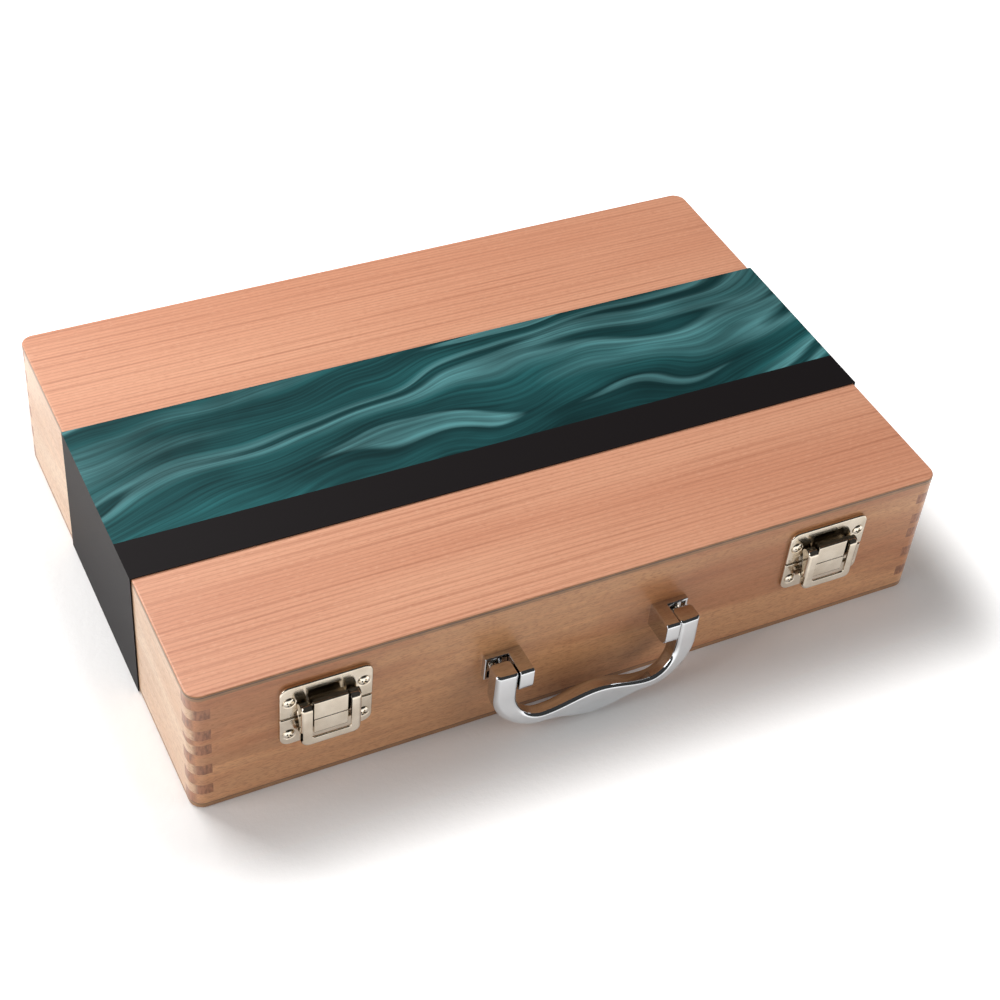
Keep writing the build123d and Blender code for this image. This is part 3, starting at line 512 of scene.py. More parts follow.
def soften(form, width, steps, chosen):
    """Round the sharp edges that the rule chooses, by their middle in front-face millimetres."""
    edges = []
    for edge in form.edges:
        middle = (edge.verts[0].co + edge.verts[1].co) / 2
        x, outset, z = middle.x / MM, (FRONT - middle.y) / MM, middle.z / MM
        if edge.calc_face_angle(0) > SHARP_ENOUGH and chosen(x, outset, z):
            edges.append(edge)
    bmesh.ops.bevel(
        form, geom=edges, offset=width * MM, segments=steps, profile=0.5, affect="EDGES",
        clamp_overlap=False,
    )
    return form


def as_object(form, name):
    """An object from a form."""
    mesh = bpy.data.meshes.new(name)
    form.to_mesh(mesh)
    form.free()
    piece = bpy.data.objects.new(name, mesh)
    bpy.context.scene.collection.objects.link(piece)
    return piece


def bake(piece):
    """Turn a piece's modifiers into its plain mesh."""
    bpy.context.view_layer.update()
    made = piece.evaluated_get(bpy.context.evaluated_depsgraph_get())
    mesh = bpy.data.meshes.new_from_object(made)
    piece.modifiers.clear()
    piece.data = mesh
    return piece


def form_of(piece):
    """A form to work on, from a piece's mesh."""
    form = bmesh.new()
    form.from_mesh(piece.data)
    return form


def put_back(form, piece):
    """Give a piece its form again."""
    form.to_mesh(piece.data)
    form.free()


def combine(operation, piece, *forms):
    """Join forms to a piece, or cut them out of it, one after another."""
    for form in forms:
        tool = as_object(form, "tool")
        modifier = piece.modifiers.new("combine", "BOOLEAN")
        modifier.operation = operation
        modifier.solver = "EXACT"
        modifier.object = tool
        bake(piece)
        bpy.data.objects.remove(tool)
    return piece


def finish_piece(piece, material, body, slot, *replaced):
    """Clean normals, a finish, a body to ride on and the CAD nodes that the piece stands for."""
    form = form_of(piece)
    bmesh.ops.remove_doubles(form, verts=form.verts, dist=WELD)
    bmesh.ops.dissolve_degenerate(form, edges=form.edges, dist=WELD)
    put_back(form, piece)
    mesh = piece.data
    mesh.materials.clear()
    mesh.materials.append(material)
    mesh.shade_smooth()
    mesh.set_sharp_from_angle(angle=SMOOTH_BELOW)
    weigh = piece.modifiers.new("weigh", "WEIGHTED_NORMAL")
    weigh.keep_sharp = True
    bake(piece)
    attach(piece, body)
    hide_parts(*replaced)
    return piece


def moved_copy(piece, name, shift=0.0, mirror=False):
    """A copy with its mesh moved along X, or mirrored across the middle of the box."""
    form = form_of(piece)
    for vert in form.verts:
        vert.co.x = -vert.co.x if mirror else vert.co.x + shift * MM
    if mirror:
        bmesh.ops.reverse_faces(form, faces=form.faces)
    return as_object(form, name)


def rod(pivot, start, end, radius, steps=32):
    """A round rod along X through a pivot given as outset and height."""
    return bar(arc(pivot, (radius, radius), 0, 360 - 360 / steps, steps - 1), start, end)


print("front face at", round(FRONT, 4), "and saw line at", round(SAW_LINE, 2), "mm")

# %% [markdown]
# ## Handle bail
# The bail is one casting: two arms, two slim necks and a grip that fills the hand. Its shape
# follows a rule, a section whose size and direction change evenly along the way, so it is lofted
# ring by ring. The section is not the same all round. Its inner front edge is crisp, which draws
# the thin black line along the chrome, and the rest is full and soft. One half is listed, and the
# other is its mirror image.

# %% Bail sections
PIVOT_OUTSET = 11.3
ARM_X = 49.75
ARM_SIZE = (11.5, 11.0)
NECK_SIZE = (7.6, 8.9)
GRIP_SIZE = (19.4, 10.6)
GRIP_OUTSET = 14.7
ARM_TOP = SAW_LINE - 0.6
ARM_HEIGHTS = (44.0, 40.0, 36.0)
ARM_TOP_ROUND = 1.3
BEND_TOP = 31.0
BEND_RADIUS = 20.5
CRISP_RADIUS = 2.0
LEAST_RADIUS = 0.15
CROWN_SHARE = 0.10


def ease(start, end, share):
    """A smooth change from start to end."""
    return start + (end - start) * share * share * (3 - 2 * share)


def bail_ring(x, z, turn, breadth, depth, outset, inset=0.0):
    """One ring of the bail. Its run has turned by an angle from straight down."""
    half, reach = breadth / 2 - inset, depth / 2 - inset
    crisp = max(CRISP_RADIUS - inset, LEAST_RADIUS)
    full = max(ease(2.4, 0.45 * min(breadth, depth), sin(turn)) - inset, LEAST_RADIUS)
    corners = (
        (reach, -half, crisp), (reach, half, full), (-reach, half, full), (-reach, -half, full),
    )
    ring = []
    for u, v in rounded(*corners, steps=7):
        if u > 0:
            # The front is crowned: it falls back towards its edges, more on the soft side
            crown = CROWN_SHARE * breadth if v > 0 else 0.25 * (CROWN_SHARE * breadth)
            u -= crown * (v / half) ** 2 * (u / reach)
        ring.append(on_front(x + v * cos(turn), outset + u, z - v * sin(turn)))
    return ring


def bail_stations(bend_steps=18, grip_steps=22):
    """Where the sections of one half go, from under the arm's top to the middle of the grip."""
    stations = [(ARM_X, height, 0, *ARM_SIZE, PIVOT_OUTSET) for height in ARM_HEIGHTS]
    for step in range(bend_steps + 1):
        share = step / bend_steps
        turn = share * pi / 2
        x = ARM_X - BEND_RADIUS * (1 - cos(turn))
        z = BEND_TOP - BEND_RADIUS * sin(turn)
        size = [ease(arm, neck, share) for arm, neck in zip(ARM_SIZE, NECK_SIZE)]
        stations.append((x, z, turn, *size, ease(PIVOT_OUTSET, GRIP_OUTSET, share)))
    for step in range(1, grip_steps + 1):
        share = step / grip_steps
        x = (ARM_X - BEND_RADIUS) * (1 - share)
        size = [ease(neck, grip, share) for neck, grip in zip(NECK_SIZE, GRIP_SIZE)]
        stations.append((x, BEND_TOP - BEND_RADIUS, pi / 2, *size, GRIP_OUTSET))
    return stations


def make_bail(top_steps=6):
    """The whole bail, with softly rounded arm tops."""
    top = []
    for step in range(top_steps + 1):
        lift = pi / 2 * step / top_steps
        height = ARM_TOP - ARM_TOP_ROUND + ARM_TOP_ROUND * sin(lift)
        inset = ARM_TOP_ROUND * (1 - cos(lift))
        top.insert(0, (ARM_X, height, 0, *ARM_SIZE, PIVOT_OUTSET, inset))
    half = top + bail_stations()
    other = [(-x, z, pi - turn, *rest) for x, z, turn, *rest in reversed(half[:-1])]
    return solid([bail_ring(*station) for station in half + other])


bail = as_object(make_bail(), "handle_bail_form")
finish_piece(bail, chrome, "handle_bail", "chrome", "handle_bail")
print("bail", len(bail.data.polygons), "faces")

# %% [markdown]
# ## Handle brackets
# Each bracket is a small casting: an arm that carries the bail's pin, beside a shallow square
# pocket with the screw in it. One is made and rounded, and its mirror image serves for the other
# side. A mirrored mesh is inside out, so its faces are turned again.

# %% Brackets
BRACKET_SIDES = (36.0, 55.5)
BRACKET_HEIGHTS = (SAW_LINE - 14.5, SAW_LINE - 0.2)
ARM_OUTER = 43.5
ARM_REACH = 17.0
POCKET_RIM = 1.3
POCKET_FLOOR = 1.2
PIVOT_HEIGHT = SAW_LINE - 7.1
PIN_BORE = 2.05


def make_bracket():
    """The bracket for the +X side."""
    left, right = BRACKET_SIDES
    low, high = BRACKET_HEIGHTS
    base = plate([(left, low), (right, low), (right, high), (left, high)], 0, 3.0)
    base = soften(base, 0.6, 3, lambda x, outset, z: outset > 1.5)
    bracket = as_object(base, "handle_bracket_form_right")
    nose = rounded(
        (-0.01, low, 0), (ARM_REACH, low, 5.0), (ARM_REACH, high, 1.6), (-0.01, high, 0), steps=8,
    )
    arm = soften(bar(nose, left, ARM_OUTER), 0.6, 3, lambda x, outset, z: outset > 0.5)
    inner, outer = ARM_OUTER + 0.4, right - POCKET_RIM
    foot, top = low + POCKET_RIM, high - POCKET_RIM
    pocket = [(inner, foot), (outer, foot), (outer, top), (inner, top)]
    combine("DIFFERENCE", bracket, plate(pocket, POCKET_FLOOR, 4.0))
    combine("UNION", bracket, arm)
    return combine("DIFFERENCE", bracket, rod((PIVOT_OUTSET, PIVOT_HEIGHT), 35, 45, PIN_BORE))


bracket = make_bracket()
twin = moved_copy(bracket, "handle_bracket_form_left", mirror=True)
for piece, side in ((bracket, "right"), (twin, "left")):
    finish_piece(piece, chrome, "base", "chrome", f"handle_bracket_{side}")
print("brackets", len(bracket.data.polygons), "faces each")

# %% [markdown]
# ## Latch plates
# The two plates of each latch are stamped sheet with turned edges, so their rims are soft. Round
# each screw the sheet is pressed in a little. The lower plate has two ears, bent out to carry the
# lever. In the upper plate a window is pressed back behind the keeper, the tongue that the draw
# plate hooks over. The latch is made once in the middle of the box and copied to both places.

# %% Latch plates
LATCH_X = 135.5
LATCH_HALF = 22.75
LEVER_PIVOT = (5.2, SAW_LINE + 8.3)
DRAW_PIVOT = (4.2, SAW_LINE - 6.8)
SCREW_X = 18.2
SCREW_FROM_SAW = 10.8
PLATE_FACE = 2.0
PLATE_ROUND = 0.75
DISH_RADIUS = 3.6
DISH_BALL = 11.0
PIN_HOLE = 1.25
EAR_STARTS = (-11.3, 9.6)
EAR_SHEET = 1.7
EAR_RADIUS = 2.5
KEEPER_HALF = 8


def dish(x, z):
    """A large ball that presses a shallow dish into the plate's face."""
    ball = bmesh.new()
    sink = (DISH_BALL**2 - DISH_RADIUS**2) ** 0.5
    place = Matrix.Translation(on_front(x, PLATE_FACE + sink, z))
    size = DISH_BALL * MM
    bmesh.ops.create_uvsphere(ball, u_segments=96, v_segments=64, radius=size, matrix=place)
    return ball


def latch_plate(name, low, high, low_corner, high_corner, screw_height):
    """A plate with soft edges and a dish round each of its two screws."""
    corners = (
        (-LATCH_HALF, low, low_corner), (LATCH_HALF, low, low_corner),
        (LATCH_HALF, high, high_corner), (-LATCH_HALF, high, high_corner),
    )
    form = plate(rounded(*corners, steps=8), 0, PLATE_FACE)
    soften(form, PLATE_ROUND, 4, lambda x, outset, z: outset > 1)
    piece = as_object(form, name)
    return combine("DIFFERENCE", piece, *[dish(side * SCREW_X, screw_height) for side in (-1, 1)])


def make_base_plate():
    """The lower plate, with its two ears."""
    low, high, screws = SAW_LINE - 18, SAW_LINE - 0.3, SAW_LINE - SCREW_FROM_SAW
    piece = latch_plate("latch_base_form", low, high, 4.8, 0.8, screws)
    out, up = LEVER_PIVOT
    foot, root = SAW_LINE - 4.5, SAW_LINE - 0.6
    web = [
        (1.6, foot), (4.5, foot), (out + EAR_RADIUS, up - 5),
        *arc(LEVER_PIVOT, (EAR_RADIUS, EAR_RADIUS), 0, 180, 12),
        (2.6, up - EAR_RADIUS), (2.6, root), (1.6, root),
    ]
    for start in EAR_STARTS:
        ear = soften(bar(web, start, start + EAR_SHEET), 0.25, 2, lambda x, outset, z: outset > 2.7)
        combine("UNION", piece, ear)
    return combine("DIFFERENCE", piece, rod(LEVER_PIVOT, -12, 12, PIN_HOLE))


def make_strike():
    """The upper plate, with its window and keeper."""
    low, high, screws = SAW_LINE + 0.3, SAW_LINE + 20.5, SAW_LINE + SCREW_FROM_SAW
    piece = latch_plate("latch_strike_form", low, high, 0.8, 4.8, screws)
    half, foot, top = 9.3, SAW_LINE + 5.5, SAW_LINE + 16
    window = rounded(
        (-half, foot, 0.4), (half, foot, 0.4), (half, top, 1.4), (-half, top, 1.4), steps=4,
    )
    combine("DIFFERENCE", piece, plate(window, 0.6, 3.0))
    root, tip = SAW_LINE + 4.7, SAW_LINE + 10.7
    tongue = rounded(
        (0.7, root, 0), (2.0, root, 0), (4.4, root + 2.6, 0.8), (4.4, tip, 0.3),
        (3.4, tip, 0.3), (3.4, root + 3.6, 0), (0.7, root + 0.9, 0), steps=4,
    )
    keeper = bar(tongue, -KEEPER_HALF, KEEPER_HALF)
    soften(keeper, 0.25, 2, lambda x, outset, z: abs(x) > KEEPER_HALF - 0.1 and outset > 2.2)
    return combine("UNION", piece, keeper)


def place_latches(piece, body, node):
    """Copy a piece of the latch to both latches and delete the first one."""
    name = piece.name
    for side, shift in zip(SIDES, (-LATCH_X, LATCH_X)):
        copy = moved_copy(piece, f"{name}_{side}", shift)
        finish_piece(copy, nickel, body.format(side), "nickel", node.format(side))
    print(name, len(piece.data.polygons), "faces")
    bpy.data.objects.remove(piece)


place_latches(make_base_plate(), "base", "latch_{}_base_plate")
place_latches(make_strike(), "lid", "latch_{}_strike")

# %% [markdown]
# ## Latch lever and draw plate
# The lever is a pressed frame, so its outer edge is rounded far more than its window. Seen from
# the side it bends back over its two knuckles at the top, and it narrows to a toe where a finger
# lifts it. It starts as that side profile, the frame's outline trims it, and its outer edge is
# rounded. Then it is hollowed from behind to a sheet 1 mm thick, its window is cut, and knuckles
# and pin holes are added. The draw plate is a bent strip: its foot is curled round a pin, a small
# step crosses its face, and its top is the hook.

# %% Lever and draw plate
LEVER_HALF = 14.7
LEVER_FACE = 9.0
LEVER_LOW = SAW_LINE - 15
LEVER_HIGH = SAW_LINE + 11
LEVER_SHEET = 1.0
LEVER_ROUND = 1.8
TOE_RADIUS = 4.0
WINDOW_HALF = 9.6
WINDOW_FOOT = SAW_LINE - 9.7
KNUCKLE_WIDTH = 3.1
KNUCKLE_RADIUS = 2.66
DRAW_HALF = 8.4
CURL_HALF = 8.6
CURL_RADIUS = 1.95
DRAW_PIN_HOLE = 1.05


def lever_side(inset):
    """The lever's side profile, or the profile of the hollow inside it."""
    face, low, high = LEVER_FACE - inset, LEVER_LOW + inset, LEVER_HIGH - inset
    if inset:
        return [(0, low), *rounded((face, low, 0), (face, high, 1.0), (0, high, 0))]
    return rounded(
        (6.4, low, 0), (face, low, 0), (face, high, 2.6), (2.5, high, 0),
        (2.5, SAW_LINE + 4, 0), (5.4, SAW_LINE - 1, 0), steps=8,
    )


def frame_outline(half, low, radius, steps):
    """An outline with two rounded lower corners, which runs on past the lever's top."""
    high = SAW_LINE + 13
    corners = ((-half, low, radius), (half, low, radius), (half, high, 0), (-half, high, 0))
    return plate(rounded(*corners, steps=steps), -1, 12)


def pressed_block(half, inset):
    """The lever as a full block, or the block that hollows it."""
    name = "hollow" if inset else "latch_lever_form"
    piece = as_object(bar(lever_side(inset), -half, half), name)
    trim = frame_outline(half, LEVER_LOW + inset, TOE_RADIUS - inset, steps=10)
    return combine("INTERSECT", piece, trim)


def soften_piece(piece, width, steps, chosen):
    """Round chosen edges of a piece."""
    put_back(soften(form_of(piece), width, steps, chosen), piece)


def make_lever():
    """The lever frame with its walls and knuckles."""
    half = LEVER_HALF
    out, up = LEVER_PIVOT

    def outer_edge(x, outset, z):
        return outset > LEVER_FACE - 0.01 or (abs(x) > half - 0.1 and z > up - 0.6)

    def window_foot(x, outset, z):
        return outset > LEVER_FACE - 0.1 and abs(x) < WINDOW_HALF and z < SAW_LINE + 7

    piece = pressed_block(half, 0)
    soften_piece(piece, LEVER_ROUND, 6, outer_edge)
    hollow = pressed_block(half - LEVER_SHEET, LEVER_SHEET)
    combine("DIFFERENCE", piece, form_of(hollow))
    bpy.data.objects.remove(hollow)
    combine("DIFFERENCE", piece, frame_outline(WINDOW_HALF, WINDOW_FOOT, 1.5, steps=6))
    soften_piece(piece, 0.45, 3, window_foot)
    # Behind the pivot the walls are cut round, so that the lever clears the strike as it turns
    corner = [(0, up - 2.7), *arc(LEVER_PIVOT, (2.7, 2.7), 180, 90, 8), (out, up + 6), (0, up + 6)]
    combine("DIFFERENCE", piece, bar(corner, -16, 16))
    for start in (-half, half - KNUCKLE_WIDTH):
        knuckle = rod(LEVER_PIVOT, start + 0.02, start + KNUCKLE_WIDTH - 0.02, KNUCKLE_RADIUS, 40)
        combine("UNION", piece, knuckle)
    holes = rod(LEVER_PIVOT, -16, 16, PIN_HOLE), rod(DRAW_PIVOT, -16, 16, DRAW_PIN_HOLE)
    return combine("DIFFERENCE", piece, *holes)


def make_draw_plate():
    """The stepped draw plate with its curled foot and its hook."""
    out, up = DRAW_PIVOT
    top, step, foot = SAW_LINE + 12, SAW_LINE + 0.9, up - CURL_RADIUS
    corners = rounded(
        (7.8, foot, 0.7), (7.8, step, 0.14), (7.5, step + 0.12, 0.05), (7.5, top, 0.8),
        (2.6, top, 0.3), (2.6, top - 1, 0.3), (6.4, top - 1, 0.4), (6.4, up - 0.95, 0.5), steps=4,
    )
    strip = bar([(out, foot), *corners, (out, up - 0.95)], -DRAW_HALF, DRAW_HALF)
    soften(strip, 0.35, 3, lambda x, outset, z: abs(x) > DRAW_HALF - 0.1 and outset > 7)
    piece = as_object(strip, "latch_draw_form")
    combine("UNION", piece, rod(DRAW_PIVOT, -CURL_HALF, CURL_HALF, CURL_RADIUS))
    return combine("DIFFERENCE", piece, rod(DRAW_PIVOT, -10, 10, DRAW_PIN_HOLE))


place_latches(make_lever(), "latch_{}_lever", "latch_{}_lever")
place_latches(make_draw_plate(), "latch_{}_draw_plate", "latch_{}_draw_plate")

# %% [markdown]
# ## Screws by Geometry Nodes
# Twenty screws are alike: eight in the latches, eight in the hinges, two in the handle brackets and
# two inside the lid. Each is a low dome with a cross recess. Geometry Nodes make one screw and set
# it on every point of a mesh that holds only the screws' seats. Each point carries two facts of its
# own: the way its screw looks out, and how far it is turned, because nobody lines up the slots. The
# tree's sizes are inputs, and it ends in Realize Instances and Set Material.

# %% The screw tree
SCREW_SIZES = {
    "Head Radius": 2.75 * MM, "Head Height": 1.2 * MM, "Rim Height": 0.4 * MM,
    "Recess Length": 3.4 * MM, "Recess Width": 0.95 * MM, "Recess Depth": 0.75 * MM,
    "Shank Radius": 1.35 * MM, "Shank Length": 8.0 * MM,
}
RECESS_BARS = (("Recess Length", "Recess Width"), ("Recess Width", "Recess Length"))


def screw_tree():
    """One domed cross-head screw, set on every point of the mesh that comes in."""
    group = bpy.data.node_groups.new("domed_cross_screws", "GeometryNodeTree")
    tree = Tree(group)
    face = group.interface
    face.new_socket("Geometry", in_out="INPUT", socket_type="NodeSocketGeometry")
    for size in SCREW_SIZES:
        face.new_socket(size, in_out="INPUT", socket_type="NodeSocketFloat")
    face.new_socket("Finish", in_out="INPUT", socket_type="NodeSocketMaterial")
    face.new_socket("Geometry", in_out="OUTPUT", socket_type="NodeSocketGeometry")
    given = tree.add("NodeGroupInput").outputs

    def moved(mesh, height):
        lift = tree.add("ShaderNodeCombineXYZ", ("Z", height)).outputs[0]
        inputs = (("Geometry", mesh), ("Translation", lift))
        return tree.add("GeometryNodeTransform", *inputs).outputs[0]

    def cylinder(corners, radius, depth):
        inputs = (("Vertices", corners), ("Radius", radius), ("Depth", depth))
        return tree.add("GeometryNodeMeshCylinder", *inputs).outputs["Mesh"]

    def boolean(operation, *inputs):
        return tree.add("GeometryNodeMeshBoolean", *inputs, operation=operation, solver="EXACT")

    # A ball cut by a cylinder gives the dome: the ball's radius follows from width and height
    dome = tree.maths("SUBTRACT", given["Head Height"], given["Rim Height"])
    width2 = tree.maths("MULTIPLY", given["Head Radius"], given["Head Radius"])
    dome2 = tree.maths("MULTIPLY", dome, dome)
    squares = tree.maths("ADD", width2, dome2)
    radius = tree.maths("DIVIDE", squares, tree.maths("MULTIPLY", dome, 2.0))
    ball = tree.add("GeometryNodeMeshUVSphere", ("Segments", 40), ("Rings", 60), ("Radius", radius))
    ball = moved(ball.outputs["Mesh"], tree.maths("SUBTRACT", given["Head Height"], radius))
    depth = tree.maths("MULTIPLY", given["Head Height"], 3.0)
    body = moved(cylinder(40, given["Head Radius"], depth), given["Head Height"])
    head = boolean("INTERSECT", ("Mesh 2", ball))
    tree.give(head.inputs["Mesh 2"], body)
    head = boolean("DIFFERENCE", ("Mesh 1", head.outputs["Mesh"]))
    for along, across in RECESS_BARS:
        depth = tree.maths("MULTIPLY", given["Recess Depth"], 2.0)
        inputs = (("X", given[along]), ("Y", given[across]), ("Z", depth))
        size = tree.add("ShaderNodeCombineXYZ", *inputs).outputs[0]
        block = tree.add("GeometryNodeMeshCube", ("Size", size)).outputs["Mesh"]
        tree.give(head.inputs["Mesh 2"], moved(block, given["Head Height"]))
    shank = cylinder(24, given["Shank Radius"], given["Shank Length"])
    down = tree.maths("MULTIPLY", given["Shank Length"], -0.5)
    screw = tree.add("GeometryNodeJoinGeometry", ("Geometry", head.outputs["Mesh"]))
    tree.give(screw.inputs["Geometry"], moved(shank, down))

    # Each point says where its screw looks and how far it is turned
    def point_fact(name, kind):
        fact = tree.add("GeometryNodeInputNamedAttribute", ("Name", name), data_type=kind)
        return fact.outputs["Attribute"]

    axis, turn = point_fact("axis", "FLOAT_VECTOR"), point_fact("turn", "FLOAT")
    aim = tree.add("FunctionNodeAlignRotationToVector", ("Vector", axis), axis="Z")
    spin = tree.add("FunctionNodeAxisAngleToRotation", ("Axis", (0, 0, 1)), ("Angle", turn))
    turns = (0, aim.outputs[0]), (1, spin.outputs[0])
    both = tree.add("FunctionNodeRotateRotation", *turns, rotation_space="LOCAL")
    spots = tree.add("GeometryNodeMeshToPoints", ("Mesh", given["Geometry"]))
    placed = tree.add(
        "GeometryNodeInstanceOnPoints", ("Points", spots.outputs[0]),
        ("Instance", screw.outputs[0]), ("Rotation", both.outputs[0]),
    )
    real = tree.add("GeometryNodeRealizeInstances", ("Geometry", placed.outputs[0])).outputs[0]
    finish = ("Material", given["Finish"])
    painted = tree.add("GeometryNodeSetMaterial", ("Geometry", real), finish).outputs[0]
    tree.add("NodeGroupOutput", ("Geometry", painted))
    return group


screws = screw_tree()
print("screw tree of", len(screws.nodes), "nodes")

# %% [markdown]
# ## Screws on each body
# The base and the lid move apart, so each gets its own screws in one plain mesh, which then stands
# for the CAD's plainer screws. The seats repeat the CAD's places, a little deeper than the plates'
# faces where the sheet is dished.

# %% Screws on each body
HINGE_X = 120.0
HINGE_SCREW_X = 11.0
HINGE_SCREW_FROM_SAW = 13.0
HINGE_LEAF = 1.2
DISH_SEAT = 1.75
BRACKET_SEAT = 1.3
SCREW_SEED = 5
OUT_OF_FRONT = (0, -1, 0)
OUT_OF_BACK = (0, 1, 0)
DOWNWARDS = (0, 0, -1)
BASE_SCREWS = ("latch_base_screws", "handle_bracket_screws", "hinge_base_screws")
LID_SCREWS = ("strike_screws", "hinge_lid_screws", "button_screw_left", "button_screw_right")


def pairs(middle, apart):
    """Four places along X: two round each of two fittings."""
    return [side * middle + end * apart for side in (-1, 1) for end in (-1, 1)]


def latch_seats(height_from_saw):
    """Seats of the latch screws at one height, on the front."""
    z = SAW_LINE + height_from_saw
    return [(on_front(x, DISH_SEAT, z), OUT_OF_FRONT) for x in pairs(LATCH_X, SCREW_X)]


def hinge_seats(height_from_saw):
    """Seats of the hinge screws at one height, on the back."""
    y, z = -FRONT + HINGE_LEAF * MM, (SAW_LINE + height_from_saw) * MM
    return [(Vector((x * MM, y, z)), OUT_OF_BACK) for x in pairs(HINGE_X, HINGE_SCREW_X)]


def make_screws(name, group, seats, body, *replaced):
    """Screws on every seat of one body, as one plain mesh."""
    chance = Random(SCREW_SEED)
    mesh = bpy.data.meshes.new(name)
    mesh.from_pydata([place for place, way in seats], [], [])
    ways = [part for place, way in seats for part in way]
    mesh.attributes.new("axis", "FLOAT_VECTOR", "POINT").data.foreach_set("vector", ways)
    turns = [chance.uniform(0, pi / 2) for seat in seats]
    mesh.attributes.new("turn", "FLOAT", "POINT").data.foreach_set("value", turns)
    piece = bpy.data.objects.new(name, mesh)
    bpy.context.scene.collection.objects.link(piece)
    modifier = piece.modifiers.new("screws", "NODES")
    modifier.node_group = group
    for socket in group.interface.items_tree:
        if socket.in_out == "INPUT" and socket.name in SCREW_SIZES:
            modifier[socket.identifier] = SCREW_SIZES[socket.name]
        elif socket.in_out == "INPUT" and socket.name == "Finish":
            modifier[socket.identifier] = bright_nickel
    bake(piece)
    finish_piece(piece, bright_nickel, body, "screw_metal", *replaced)
    print(name, len(seats), "screws,", len(piece.data.polygons), "faces")


base_seats = latch_seats(-SCREW_FROM_SAW) + hinge_seats(-HINGE_SCREW_FROM_SAW)
for side in (-1, 1):
    base_seats.append((on_front(side * ARM_X, BRACKET_SEAT, PIVOT_HEIGHT), OUT_OF_FRONT))
lid_seats = latch_seats(SCREW_FROM_SAW) + hinge_seats(HINGE_SCREW_FROM_SAW)
for side in SIDES:
    low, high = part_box(f"button_screw_{side}")
    middle = (Vector(low) + Vector(high)) / 2
    seat = Vector((middle.x, middle.y, low[2] + SCREW_SIZES["Head Height"]))
    lid_seats.append((seat, DOWNWARDS))
make_screws("screws_in_base", screws, base_seats, "base", *BASE_SCREWS)
make_screws("screws_in_lid", screws, lid_seats, "lid", *LID_SCREWS)

# %% [markdown]
# ## Floor, light and white surround
# The object lies on a white table under one big soft lamp behind its left end, so the shadow falls
# forwards and to the right. A second soft lamp stands beyond the left end, which makes the light
# fall off along the box, and a weak one in front on the right, which mirrors don't show, keeps the
# front from going dull. Round the box the table keeps the shadow. Farther out it glows to the
# camera, more and more, until it is white. The camera sees a white surround too, but in mirrors
# the sky is dark, as in a studio, which is what gives bright metal its black lines.

# %% Floor and lights
KEY_PLACE = (-0.49, 0.87, 1.17)
KEY_SIZE = 0.80
KEY_POWER = 19.0
SIDE_PLACE = (-1.05, -0.10, 0.60)
SIDE_SIZE = 0.70
SIDE_POWER = 5.5
FILL_PLACE = (0.95, -0.80, 0.45)
FILL_SIZE = 0.7
FILL_POWER = 4.3
AMBIENT = 0.22
FOOTPRINT = (0.200, 0.134, 1.0)
TABLE_TINT = (0.90, 0.885, 0.875, 1)
FADE_START = 0.016
FADE_END = 0.090
FADE_STRETCH = (1.4, 1, 1)
TABLE_GLOW = 0.65
MIRRORED_GLOW = 0.08
DARK_SKY = 0.05
WHITE = 1.0


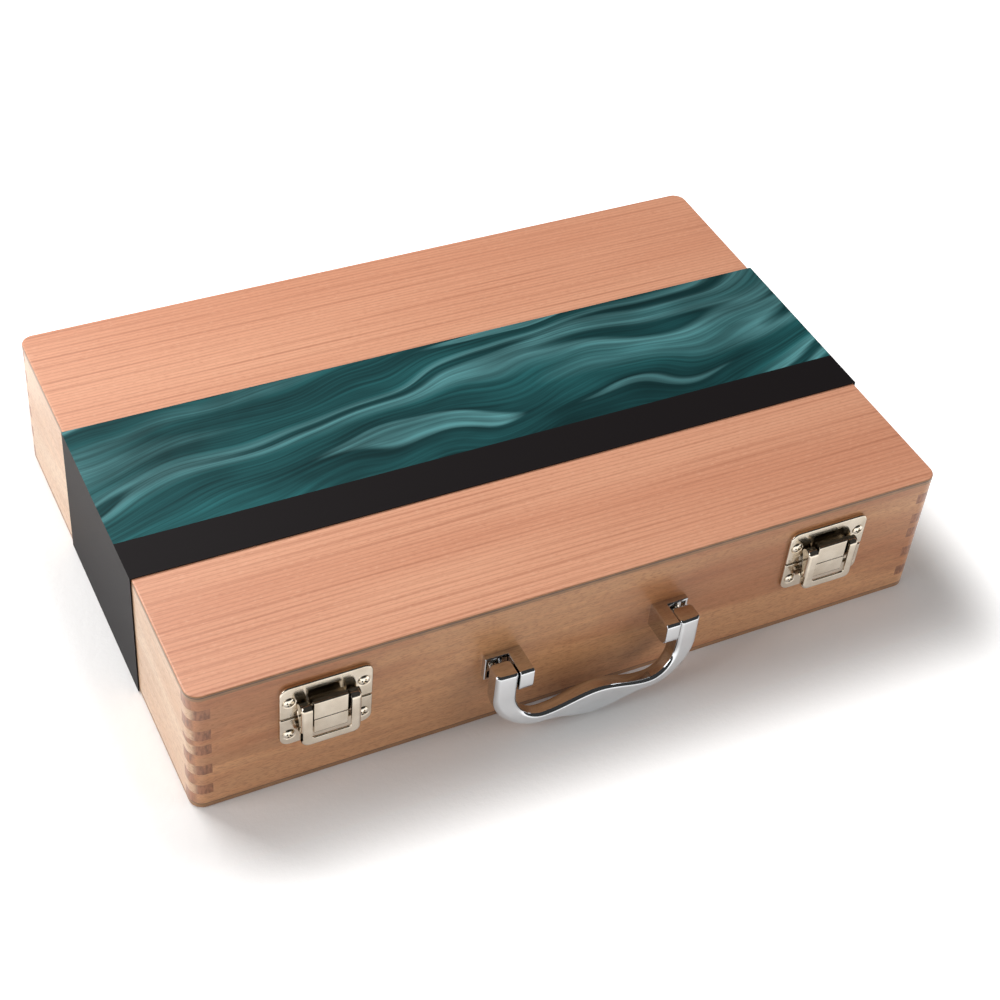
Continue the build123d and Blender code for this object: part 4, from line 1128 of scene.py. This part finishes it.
def make_floor():
    """A large pale floor that is white to the camera but keeps the object's shadow."""
    bpy.ops.mesh.primitive_plane_add(size=12, location=(0, 0, 0))
    floor = bpy.context.object
    floor.name = "floor"
    material, tree, shader = new_finish("white_table")
    spot = tree.add("ShaderNodeTexCoord").outputs["Object"]
    shader.inputs["Base Color"].default_value = TABLE_TINT
    shader.inputs["Roughness"].default_value = 0.85
    shader.inputs["Specular IOR Level"].default_value = 0.2
    grain = tree.noise(spot, (230, 230, 230), 3, 0.6)
    tree.bump(shader, grain, 0.25, 1.0 * MM)
    # How far a spot lies outside the box's footprint, counted faster along X
    beyond = tree.vector("SUBTRACT", tree.vector("ABSOLUTE", spot), FOOTPRINT)
    beyond = tree.vector("MULTIPLY", tree.vector("MAXIMUM", beyond), FADE_STRETCH)
    away = tree.add("ShaderNodeVectorMath", (0, beyond), operation="LENGTH").outputs["Value"]
    fade = tree.add(
        "ShaderNodeMapRange", ("Value", away), ("From Min", FADE_START), ("From Max", FADE_END),
        ("To Min", 0.0), ("To Max", TABLE_GLOW), interpolation_type="SMOOTHSTEP",
    ).outputs[0]
    path = tree.add("ShaderNodeLightPath").outputs
    shown = tree.maths("MULTIPLY", path["Is Camera Ray"], fade)
    # Mirrors see this glow too, with a little more everywhere, even in the shadow: a painted
    # brightening of the floor in reflections
    glossy = tree.maths("ADD", fade, MIRRORED_GLOW)
    mirrored = tree.maths("MULTIPLY", path["Is Glossy Ray"], glossy)
    glow = tree.add("ShaderNodeEmission", ("Strength", tree.maths("ADD", shown, mirrored)))
    both = tree.add("ShaderNodeAddShader", (0, shader.outputs[0]), (1, glow.outputs[0]))
    tree.give(material.node_tree.nodes["Material Output"].inputs[0], both.outputs[0])
    floor.data.materials.append(material)


def make_lamp(name, place, size, power):
    """A square area lamp that looks at the box."""
    lamp = bpy.data.objects.new(name, bpy.data.lights.new(name, "AREA"))
    bpy.context.scene.collection.objects.link(lamp)
    lamp.data.size = size
    lamp.data.energy = power
    lamp.location = place
    lamp.rotation_euler = (-Vector(place)).to_track_quat("-Z", "Y").to_euler()
    return lamp


def make_surround():
    """White to the camera, dark in mirrors, and a weak even light to everything else."""
    world = bpy.data.worlds.new("surround")
    bpy.context.scene.world = world
    world.use_nodes = True
    tree = Tree(world.node_tree)
    path = tree.add("ShaderNodeLightPath").outputs
    ambient, dark, white = ((level,) * 3 for level in (AMBIENT, DARK_SKY, WHITE))
    light = tree.mix(path["Is Glossy Ray"], ambient, dark)
    shown = tree.mix(path["Is Camera Ray"], light, white)
    tree.give(world.node_tree.nodes["Background"].inputs["Color"], shown)


make_floor()
make_lamp("key_softbox", KEY_PLACE, KEY_SIZE, KEY_POWER)
make_lamp("side_softbox", SIDE_PLACE, SIDE_SIZE, SIDE_POWER)
make_lamp("front_fill", FILL_PLACE, FILL_SIZE, FILL_POWER).visible_glossy = False
make_surround()
print("lamps", KEY_POWER, SIDE_POWER, FILL_POWER, "W")

# %% [markdown]
# ## Finish
# The render shows its colours through the Standard view transform.

# %% Finish
bpy.context.scene.view_settings.view_transform = "Standard"
